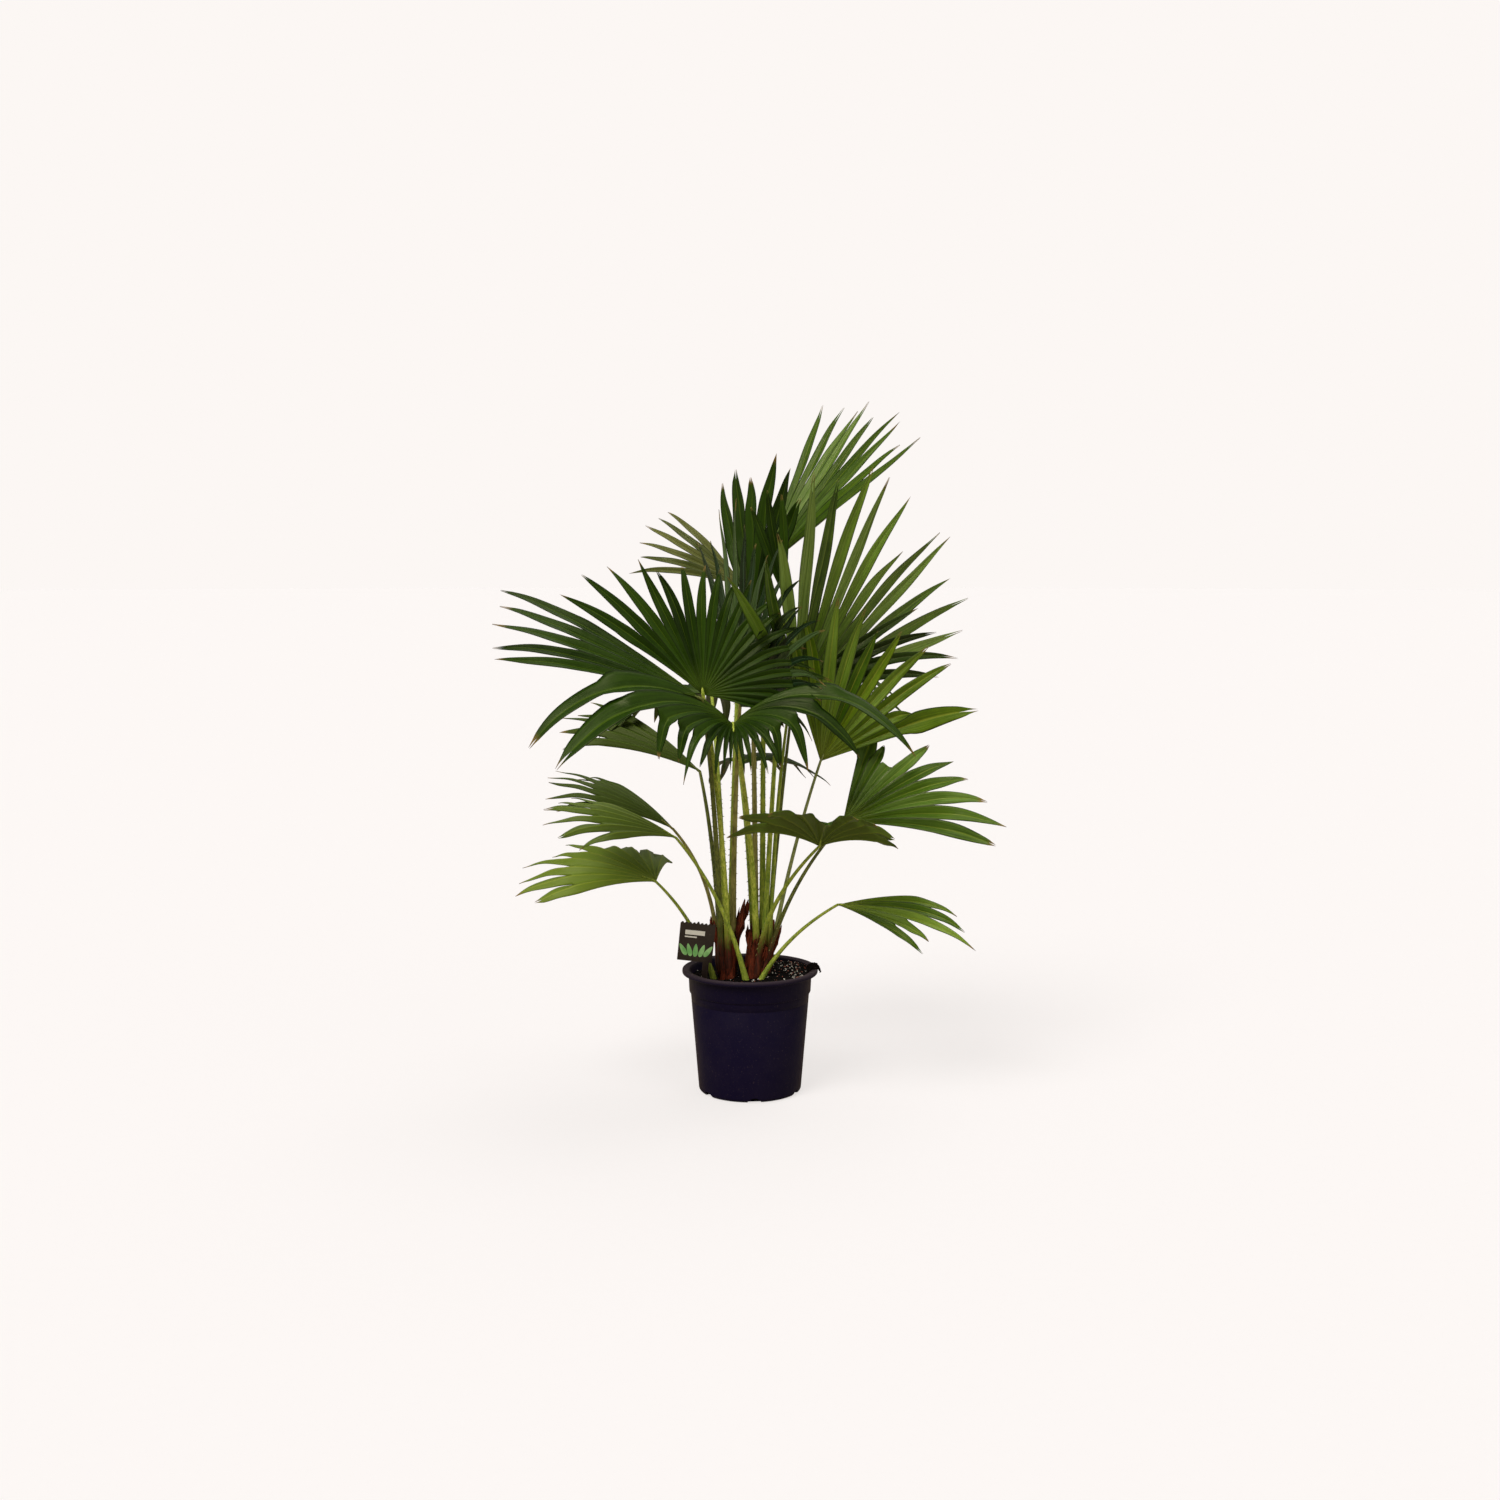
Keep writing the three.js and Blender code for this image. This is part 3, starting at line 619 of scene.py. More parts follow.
@dataclass(frozen=True)
class LeafFinish:
    """A blade's colours: its upper side in two shades, its ribs, its under side and its dry tips.

    The shares say how far streaks, segments and patches each carry the colour from dark to light, and level
    where it starts. The palest segments take a painted highlight, and the creases between segments a painted
    shade.
    """

    dark: str
    light: str
    rib: str
    under: str
    dry: str = "8a6f3c"
    roughness: float = 0.3
    sheen: float = 0.34
    # how much painted highlight the palest segments take
    highlight_share: float = 0.0
    level: float = -0.14
    streak_share: float = 0.45
    segment_share: float = 0.55
    patch_share: float = 0.22
    hub_share: float = 0.45  # how much of the rib's colour the hub takes
    hub_reach: float = 0.3
    rib_share: float = 0.5
    # how much painted shade darkens the creases between segments
    valley_shade_share: float = 0.75
    under_duller: float = 0.8
    under_rougher: float = 0.12
    grain: float = 0.16  # how much shorter the streaks' pattern is along a segment
    relief: float = 0.0008

    def side(self, name: str, effects: Effects, sheen: float, streaks: float) -> tuple[Finish, dict, dict]:
        """Starts the material of one side.

        Args:
            name: Its name.
            effects: The shared effects.
            sheen: Its specular level.
            streaks: How many streaks lie side by side on a segment.

        Returns:
            The finish, the folds of its fan and its streaks.
        """
        finish = Finish(name, Specular_IOR_Level=sheen, Specular_Tint=WAX)
        lay = finish.recipe.add("ShaderNodeUVMap", uv_map="lay")
        folds = finish.effect(effects.folds, lay)
        along = finish.recipe.vector("MULTIPLY", lay.outputs[0], (1.0, self.grain, 1.0))
        return finish, folds, finish.effect(effects.streaks, along, streaks)

    def upper(self, name: str, effects: Effects, lift: float) -> Material:
        """The upper side.

        Args:
            name: The material's name.
            effects: The shared effects.
            lift: From 0 to 1, how far the segment's colour leans to the light shade.

        Returns:
            The material.
        """
        finish, folds, streaks = self.side(name, effects, self.sheen, 11.0)
        recipe = finish.recipe
        blotches = finish.effect(effects.blotches, finish.place, 22.0)
        streak, shade, patch = streaks["Streak"], folds["Shade"], blotches["Patch"]
        share = recipe.times_plus(streak, self.streak_share, lift + self.level)
        share = recipe.times_plus(shade, self.segment_share, share)
        share = recipe.times_plus(patch, self.patch_share, share, clamp=True)
        colour = recipe.mix(share, paint(self.dark), paint(self.light))
        near_hub = recipe.span(folds["Part"], 0.02, self.hub_reach, self.hub_share, 0.0)
        rib = recipe.times_plus(folds["Rib"], self.rib_share, near_hub, clamp=True)
        colour = recipe.mix(rib, colour, paint(self.rib))
        # painted shade: the creases between segments darken towards the valley colour
        valley_shade = recipe.times(folds["Seam"], self.valley_shade_share)
        colour = recipe.mix(valley_shade, colour, paint(VALLEY_SHADE))
        # painted highlight: the palest segments turn towards a light green along their streaks
        highlight_mask = recipe.times(recipe.span(shade, 0.55, 0.85, 0.0, self.highlight_share), streak)
        colour = recipe.mix(highlight_mask, colour, paint(PAINTED_HIGHLIGHT))
        colour = recipe.mix(folds["Dry"], colour, paint(self.dry))
        roughness = recipe.times_plus(patch, 0.16, self.roughness)
        return finish.done(colour, roughness, streaks["Height"], self.relief)

    def lower(self, name: str, effects: Effects) -> Material:
        """The under side: paler, duller, with its ribs standing out."""
        finish, folds, streaks = self.side(name, effects, self.sheen * self.under_duller, 9.0)
        recipe = finish.recipe
        share = recipe.times_plus(streaks["Streak"], 0.4, 0.1, clamp=True)
        colour = recipe.mix(share, paint(self.under), paint(self.light))
        colour = recipe.mix(recipe.times(folds["Rib"], 0.4), colour, paint(self.rib))
        colour = recipe.mix(folds["Dry"], colour, paint(self.dry))
        return finish.done(colour, self.roughness + self.under_rougher, streaks["Height"], self.relief)


# The coats differ in how much painted highlight their palest segments take.
LEAF_FINISHES = {
    Coat.DEEP: LeafFinish(dark="0e2401", light="2e490a", rib="58701a", under="485420", sheen=0.2),
    Coat.BLUE: LeafFinish(
        dark="081c0a", light="203c1e", rib="6a8468", under="2e4026", roughness=0.24, sheen=0.5, highlight_share=0.3
    ),
    Coat.MID: LeafFinish(
        dark="1c3802", light="527211", rib="8c9c30", under="586626", sheen=0.36, highlight_share=0.22
    ),
    Coat.FRESH: LeafFinish(dark="325403", light="708a12", rib="aab440", under="708230", highlight_share=0.2),
    Coat.OLIVE: LeafFinish(
        dark="26480a", light="7ca032", rib="96ae54", under="727e38", sheen=0.5, highlight_share=0.6
    ),
    Coat.KHAKI: LeafFinish(dark="3c4818", light="696c34", rib="8e8c54", under="6a683c"),
    Coat.SHADE: LeafFinish(dark="102004", light="2c4410", rib="5e6a3c", under="484828"),
}


@dataclass(frozen=True)
class FibreFinish:
    """A streaked surface of plant fibre: stalks, stems and torn leaf bases.

    base is the colour of a foot that is sheathed in fibre. It fades out between the heights
    base_from and base_to, and streaks carry it up and down by as much as ragged.
    """

    dark: str
    light: str
    scale: float = 1.0
    stretch: float = 0.07
    roughness: float = 0.5
    sheen: float = 0.4
    depth: float = 0.0008
    fleck: str = "5a4a2a"
    base: str = "240d08"
    base_light: str = "6e2e1a"
    base_from: float = 0.25
    base_to: float = 0.312
    ragged: float = 0.12

    def make(self, name: str, effects: Effects, sheathed: bool = False) -> Material:
        """The material.

        Args:
            name: Its name.
            effects: The shared effects.
            sheathed: Whether its foot takes the base colour.

        Returns:
            The material, with streaks that run upwards.
        """
        finish = Finish(name, Specular_IOR_Level=self.sheen)
        recipe = finish.recipe
        streaks = finish.effect(effects.streaks, finish.stretched(self.stretch), 420.0 * self.scale)
        blotches = finish.effect(effects.blotches, finish.place, 45.0)
        streak = streaks["Streak"]
        share = recipe.times_plus(streak, 0.8, -0.05)
        share = recipe.times_plus(blotches["Patch"], 0.4, share, clamp=True)
        colour = recipe.mix(share, paint(self.dark), paint(self.light))
        fleck = recipe.times(blotches["Fleck"], 0.6)
        colour = recipe.mix(fleck, colour, paint(self.fleck))
        if sheathed:
            height = recipe.times_plus(streaks["Height"], -self.ragged, finish.height())
            low, high = self.base_from - self.ragged / 2, self.base_to - self.ragged / 2
            fibre = recipe.mix(streak, paint(self.base), paint(self.base_light))
            colour = recipe.mix(recipe.span(height, low, high, 1.0, 0.0), colour, fibre)
        roughness = recipe.times_plus(streak, 0.15, self.roughness)
        return finish.done(colour, roughness, streaks["Height"], self.depth)


STALK_FINISHES = {
    StalkCoat.BRIGHT: FibreFinish(dark="86a01e", light="e2e868"),
    StalkCoat.GREEN: FibreFinish(dark="6c8820", light="c4d050"),
    StalkCoat.BROWNISH: FibreFinish(dark="787234", light="c0b66a"),
    StalkCoat.DARK: FibreFinish(dark="404c1a", light="82883a", base="1e0b07"),
    StalkCoat.GREY: FibreFinish(dark="768244", light="bcc480"),
}
STEM_FINISH = FibreFinish(
    dark="140806", light="5a2a1a", fleck="7a5a44", scale=0.6, stretch=0.1, roughness=0.85, sheen=0.15,
    depth=0.004,
)
SHEATH_FINISH = FibreFinish(
    dark="220a06", light="8c3e26", fleck="a07a58", scale=0.7, stretch=0.12, roughness=0.8, sheen=0.15,
    depth=0.003,
)
SPINE_FINISH = FibreFinish(dark="8f9a58", light="c0c084", roughness=0.4)


@dataclass(frozen=True)
class PlasticFinish:
    """Matte moulded plastic with dust and fine scuffs.

    A painted highlight pales the top edge of the rim towards the dust colour, between two depths under it.
    edge is the colour of a painted sheen that the surface turns to where it is seen aslant.
    """

    colour: str
    dust_and_highlight: str
    dusty: float
    roughness: float = 0.42
    sheen: float = 0.4
    flecks: float = 0.35
    # strength and depths of a painted highlight along the top of the rim
    rim_highlight: float = 0.0
    rim_highlight_depths: tuple[float, float] = (0.007, 0.001)
    # colour of a painted sheen where the surface is seen aslant
    edge: str = ""
    relief: float = 0.00015

    def make(self, name: str, effects: Effects) -> Material:
        """The material, dustier where the blotches lie, with a painted highlight along the top of the rim.
        """
        finish = Finish(name, Specular_IOR_Level=self.sheen)
        recipe = finish.recipe
        blotches = finish.effect(effects.blotches, finish.place, 28.0)
        scuffs = finish.effect(effects.streaks, finish.stretched(0.2), 260.0)
        dust_and_highlight = recipe.times(blotches["Patch"], self.dusty)
        dust_and_highlight = recipe.times_plus(blotches["Fleck"], self.flecks, dust_and_highlight, clamp=True)
        plain = paint(self.colour)
        # painted sheen: the colour turns brownish where the surface is seen aslant
        if self.edge:
            aslant = recipe.add("ShaderNodeLayerWeight", 0.35).outputs["Facing"]
            plain = recipe.mix(recipe.span(aslant, 0.3, 1.0, 0.0, 0.8), plain, paint(self.edge))
        # painted highlight: the top of the rim pales towards the dust colour
        if self.rim_highlight:
            low, high = (POT_HEIGHT - depth for depth in self.rim_highlight_depths)
            rim = recipe.span(finish.height(), low, high, 0.0, self.rim_highlight)
            dust_and_highlight = recipe.maths("ADD", dust_and_highlight, rim, clamp=True)
        colour = recipe.mix(dust_and_highlight, plain, paint(self.dust_and_highlight))
        roughness = recipe.times_plus(scuffs["Streak"], 0.1, self.roughness)
        roughness = recipe.times_plus(dust_and_highlight, 0.6, roughness, clamp=True)
        return finish.done(colour, roughness, scuffs["Height"], self.relief)


# The pot's rim takes a painted highlight along its top, and its sides a painted brownish sheen where they
# are seen aslant.
POT_FINISH = PlasticFinish(
    colour="130c2b", dust_and_highlight="6a5a58", dusty=0.02, sheen=0.09, flecks=0.16, rim_highlight=0.26, edge="38242a"
)
CARD_FINISH = PlasticFinish(colour="2b211d", dust_and_highlight="5a4a40", dusty=0.12, roughness=0.35)
PRINT_PALE = PlasticFinish(colour="f6f2ec", dust_and_highlight="a09888", dusty=0.08, roughness=0.4, flecks=0.1)
PRINT_GREEN = PlasticFinish(colour="b4e49c", dust_and_highlight="5fae56", dusty=0.75, roughness=0.4)


@dataclass(frozen=True)
class MixFinish:
    """Potting mix and its grains."""

    dark: str
    light: str
    scale: float = 260.0
    roughness: float = 0.9
    relief: float = 0.0015

    def make(self, name: str, effects: Effects) -> Material:
        """The material, grainy at the scale of crumbs."""
        finish = Finish(name, Specular_IOR_Level=0.1)
        patch = finish.effect(effects.blotches, finish.place, self.scale)["Patch"]
        colour = finish.recipe.mix(patch, paint(self.dark), paint(self.light))
        return finish.done(colour, self.roughness, patch, self.relief)


MIX_FINISH = MixFinish(dark="040304", light="0d0808", scale=160.0)
CRUMB_FINISH = MixFinish(dark="060405", light="20120f")
BARK_FINISH = MixFinish(dark="6a3026", light="d09080")
PERLITE_FINISH = MixFinish(dark="d0c6c0", light="fffaf4", scale=300.0, roughness=0.8)


class Finishes:
    """Every material of the plant, made once."""

    LIGHTER = 0.28  # how far the lighter segments lean to the light shade

    def __init__(self) -> None:
        """Builds the shared effects and the materials from them."""
        effects = Effects()
        self.leaves = {
            coat: [
                finish.upper(f"blade_{coat.value}", effects, 0.0),
                finish.upper(f"blade_{coat.value}_light", effects, self.LIGHTER),
                finish.lower(f"blade_{coat.value}_under", effects),
            ]
            for coat, finish in LEAF_FINISHES.items()
        }
        self.stalks = {
            (coat, sheathed): finish.make(f"stalk_{coat.value}_{where}", effects, sheathed)
            for coat, finish in STALK_FINISHES.items()
            for where, sheathed in (("soil", False), ("stem", True))
        }
        self.spine = SPINE_FINISH.make("spine", effects)
        self.stem = STEM_FINISH.make("stem_fibre", effects)
        self.sheath = SHEATH_FINISH.make("torn_base", effects)
        self.pot = POT_FINISH.make("pot_plastic", effects)
        self.card = CARD_FINISH.make("label_card", effects)
        self.print_pale = PRINT_PALE.make("label_pale", effects)
        self.print_green = PRINT_GREEN.make("label_green", effects)
        self.mix = MIX_FINISH.make("potting_mix", effects)
        self.crumb = CRUMB_FINISH.make("crumb", effects)
        self.bark = BARK_FINISH.make("bark_chip", effects)
        self.perlite = PERLITE_FINISH.make("perlite", effects)


# ---- Geometry Nodes trees ----


def grown(mesh: Mesh, tree: Tree, **values: object) -> Mesh:
    """What a Geometry Nodes tree makes of a mesh.

    Args:
        mesh: The mesh that goes in.
        tree: The tree.
        values: Its inputs by name, with underscores for spaces.

    Returns:
        A plain mesh.
    """

    def modify(holder: Object) -> None:
        """Adds the tree and sets its inputs by their identifiers."""
        modifier = holder.modifiers.new("grow", "NODES")
        modifier.node_group = tree
        for item in tree.interface.items_tree:
            key = item.name.replace(" ", "_")
            if item.in_out == "INPUT" and key in values:
                modifier[item.identifier] = values[key]

    return evaluated(mesh, modify)


class Growth:
    """The Geometry Nodes trees."""

    LUMPS = 420.0  # the scale of the noise that roughens grains

    def __init__(self) -> None:
        """Builds each tree once."""
        self.stalk = self._stalk()
        self.spines = self._spines()
        self.crumbs = self._crumbs()
        self.fibres = self._fibres()

    @staticmethod
    def _started(name: str, *sizes: str) -> tuple[Recipe, dict[str, Socket], Node]:
        """Starts a tree that takes a shape, its sizes, a seed and a material, and gives a shape."""
        floats = {size: "Float" for size in sizes}
        inputs = {"Geometry": "Geometry", **floats, "Seed": "Int", "Material": "Material"}
        return group("Geometry", name, inputs, {"Geometry": "Geometry"})

    @staticmethod
    def _stalk() -> Tree:
        """A tapering stalk along a line of points, flatter on its upper side."""
        inputs = {"Geometry": "Geometry", "Sides": "Int", "Flatness": "Float", "Material": "Material"}
        recipe, start, end = group("Geometry", "stalk", inputs, {"Geometry": "Geometry"})
        girth, over = recipe.attribute("girth"), recipe.attribute("over", "FLOAT_VECTOR")
        line = recipe.add("GeometryNodeMeshToCurve", start["Geometry"])
        line = recipe.add("GeometryNodeSetCurveNormal", line, None, over, mode="FREE")
        ring = recipe.add("GeometryNodeCurvePrimitiveCircle", start["Sides"])
        recipe.feed(ring.inputs["Radius"], 1.0)
        size = recipe.add("ShaderNodeCombineXYZ", start["Flatness"], 1.0, 1.0)
        ring = recipe.add("GeometryNodeTransform", ring)
        recipe.feed(ring.inputs["Scale"], size)
        tube = recipe.add("GeometryNodeCurveToMesh", line, ring)
        recipe.feed(tube.inputs["Scale"], girth)
        recipe.feed(tube.inputs["Fill Caps"], True)
        recipe.dress(recipe.add("GeometryNodeRealizeInstances", tube), start["Material"], end)
        return recipe.tree

    def _spines(self) -> Tree:
        """Small hooked spines on seats that know which way they look."""
        recipe, start, end = self._started("spines", "Length", "Width")
        out = recipe.attribute("out", "FLOAT_VECTOR")
        hook = recipe.add("GeometryNodeMeshCone", 4, 1, 1, 0.0, start["Width"], start["Length"])
        way = recipe.add("FunctionNodeAlignRotationToVector", None, 1.0, out, axis="Z")
        size = recipe.chance(0.5, 1.2, start["Seed"])
        recipe.dress(recipe.copies(start["Geometry"], hook, way, size), start["Material"], end)
        return recipe.tree

    def _crumbs(self) -> Tree:
        """Rough grains strewn over a surface, thicker where its weight is high."""
        recipe, start, end = self._started("crumbs", "Density", "Smallest", "Largest", "Roughness")
        density = recipe.times(start["Density"], recipe.attribute("weight"))
        spots = recipe.spots(start["Geometry"], density, start["Seed"])
        grain = recipe.add("GeometryNodeMeshIcoSphere", 1.0, 1)
        turn = recipe.chance_vector((0.0, 0.0, 0.0), (math.tau,) * 3, start["Seed"])
        size = recipe.chance(start["Smallest"], start["Largest"], start["Seed"])
        other_seed = recipe.maths("ADD", start["Seed"], 7.0)
        squash = recipe.chance_vector((0.6, 0.5, 0.4), (1.2, 1.0, 0.8), other_seed)
        whole = recipe.copies(spots, grain, turn, recipe.scaled(squash, size))
        lumps = recipe.add("ShaderNodeTexNoise", noise_dimensions="3D")
        recipe.feed(lumps.inputs["Scale"], self.LUMPS)
        shift = recipe.vector("SUBTRACT", lumps.outputs["Color"], (0.5, 0.5, 0.5))
        moved = recipe.scaled(shift, start["Roughness"])
        rough = recipe.add("GeometryNodeSetPosition", whole, None, None, moved)
        recipe.dress(rough, start["Material"], end)
        return recipe.tree

    def _fibres(self) -> Tree:
        """Stiff hairs that stand off a surface and lean upwards."""
        recipe, start, end = self._started("fibres", "Density", "Length", "Width")
        spots = recipe.spots(start["Geometry"], start["Density"], start["Seed"])
        hair = recipe.add("GeometryNodeMeshCone", 3, 1, 1, 0.0, start["Width"], start["Length"])
        scatter = recipe.chance_vector((-0.7, -0.7, 0.1), (0.7, 0.7, 1.9), start["Seed"])
        lean = recipe.vector("ADD", spots.outputs["Normal"], scatter)
        way = recipe.add("FunctionNodeAlignRotationToVector", None, 1.0, lean, axis="Z")
        size = recipe.chance(0.3, 1.3, start["Seed"])
        recipe.dress(recipe.copies(spots, hair, way, size), start["Material"], end)
        return recipe.tree


# ---- leaves ----

SOIL_LEVEL = 0.204
STALK_INTO_SOIL = 0.008
STALK_UNDER_BLADE = 0.013
BEND_STEPS = 8
STAGGER = 0.34  # sideways scatter of tips, in shares of a segment's angle
UNEVEN = 0.09  # scatter of segment lengths
MILLIMETRE = 0.001
NEVER_ZERO = 1e-4


@dataclass(frozen=True)
class StemShape:
    """A stem wrapped in old leaf bases: where it stands and ends, its girth and its lobes."""

    foot: tuple[float, float]
    top: Point
    radius: float
    waist: float
    lobes: int
    turn: float
    rings: dict[Ring, tuple[float, float]]

    def axis(self, z: Array | float) -> Array:
        """The stem's middle at a height."""
        u = (np.asarray(z, dtype=float) - SOIL_LEVEL) / (self.top[2] - SOIL_LEVEL)
        x = self.foot[0] + (self.top[0] - self.foot[0]) * u
        y = self.foot[1] + (self.top[1] - self.foot[1]) * u
        return np.stack([x, y, np.asarray(z, dtype=float)], axis=-1)


STEMS = {
    Clump.LEFT: StemShape(
        foot=(-0.04, -0.012), top=(-0.037, -0.008, 0.314), radius=0.015, waist=0.0125, lobes=5, turn=0.4,
        rings={Ring.INNER: (0.0085, 0.026), Ring.OUTER: (0.0175, 0.074)},
    ),
    Clump.RIGHT: StemShape(
        foot=(0.009, -0.014), top=(0.024, -0.008, 0.284), radius=0.019, waist=0.016, lobes=6, turn=1.1,
        rings={Ring.INNER: (0.011, 0.022), Ring.OUTER: (0.021, 0.058)},
    ),
}


@dataclass(frozen=True)
class FanLeaf:
    """One leaf.

    hub is where the blade starts, aim the way of its middle segment, and side the way of a segment a
    quarter turn round. fan is the first and last segment's angle from aim, and reach the middle one's
    length. Side segments are shorter by taper, and skew makes one flank longer. sag bends segments to
    the ground and cup lifts the flanks. bow is how far out and up the stalk has gone where it turns.
    shut is how steeply the pleats fold, from 0 for a flat fan, turn is how far the free segments are
    turned about their ribs, and twist how far that scatters, all in degrees. droop is how far the tips
    hang, in shares of reach. broad and short list segments that stay wide and those that end early.
    """

    name: str
    coat: Coat
    stalk_coat: StalkCoat
    hub: Point
    aim: Point
    side: Point
    fan: tuple[float, float]
    reach: float
    fingers: int
    foot: StemFoot | SoilFoot
    taper: float = 0.0
    skew: float = 0.0
    sag: float = 0.0
    cup: float = 0.0
    split: float = 0.5
    bow: tuple[float, float] = (0.26, 0.62)
    shut: float = 31.0
    turn: float = 0.0
    broad: tuple[int, ...] = ()
    short: tuple[int, ...] = ()
    droop: float = 0.03
    twist: float = 24.0

    def chance(self, k: int) -> float:
        """A number from -1 to 1 that is always the same for the same leaf and segment."""
        x, z = self.hub[0] / MILLIMETRE, self.hub[2] / MILLIMETRE
        t = math.sin(x * 12.9 + z * 4.1 + k * 78.2) * 437.5
        return 2 * (t - math.floor(t)) - 1

    def axes(self) -> tuple[Array, Array, Array]:
        """The blade's aim, side, and the way its upper face looks."""
        aim = unit(np.array(self.aim, dtype=float))
        side = np.array(self.side, dtype=float)
        side = unit(side - aim * (side @ aim))
        return aim, side, np.cross(side, aim)

    def length(self, angle: Array | float) -> Array | float:
        """A segment's length at an angle of the fan."""
        low, high = self.fan
        u = 2 * (angle - low) / (high - low) - 1
        return self.reach * (1 - self.taper * u * u) * (1 + self.skew * u)

    def spot(self, angle: Array, out: Array, part: Array) -> tuple[Array, Array, Array]:
        """Places on the blade, each reached by steps along its bending segment.

        Args:
            angle: Angles of the fan, in degrees.
            out: How far from the hub, along the bent segment.
            part: The same in shares of the segment, which says how far it has bent.

        Returns:
            The places, the way across the segment, and the way that its upper face looks.
        """
        aim, side, up = self.axes()
        turn = np.radians(angle)[..., None]
        way = unit(np.cos(turn) * aim + np.sin(turn) * side + self.cup * np.abs(np.sin(turn)) * up)
        level = np.hypot(way[..., 0], way[..., 1])
        at = np.zeros(way.shape) + np.array(self.hub)
        now = way
        for i in range(BEND_STEPS):
            bend = self.sag * level * 2 * (i + 0.5) / BEND_STEPS * part
            now = unit(way + DOWN * bend[..., None])
            at = at + now * (out / BEND_STEPS)[..., None]
        over = unit(np.cross(now, up))
        return at, over, unit(np.cross(over, now))

    def stalk_foot(self) -> Array:
        """Where the stalk starts: inside its stem, or in the potting mix."""
        if isinstance(self.foot, SoilFoot):
            return np.array((self.foot.x, self.foot.y, SOIL_LEVEL - STALK_INTO_SOIL))
        stem = STEMS[self.foot.clump]
        out, drop = stem.rings[self.foot.ring]
        angle = math.radians(self.foot.angle)
        return stem.axis(stem.top[2] - drop) + np.array((math.cos(angle) * out, math.sin(angle) * out, 0.0))


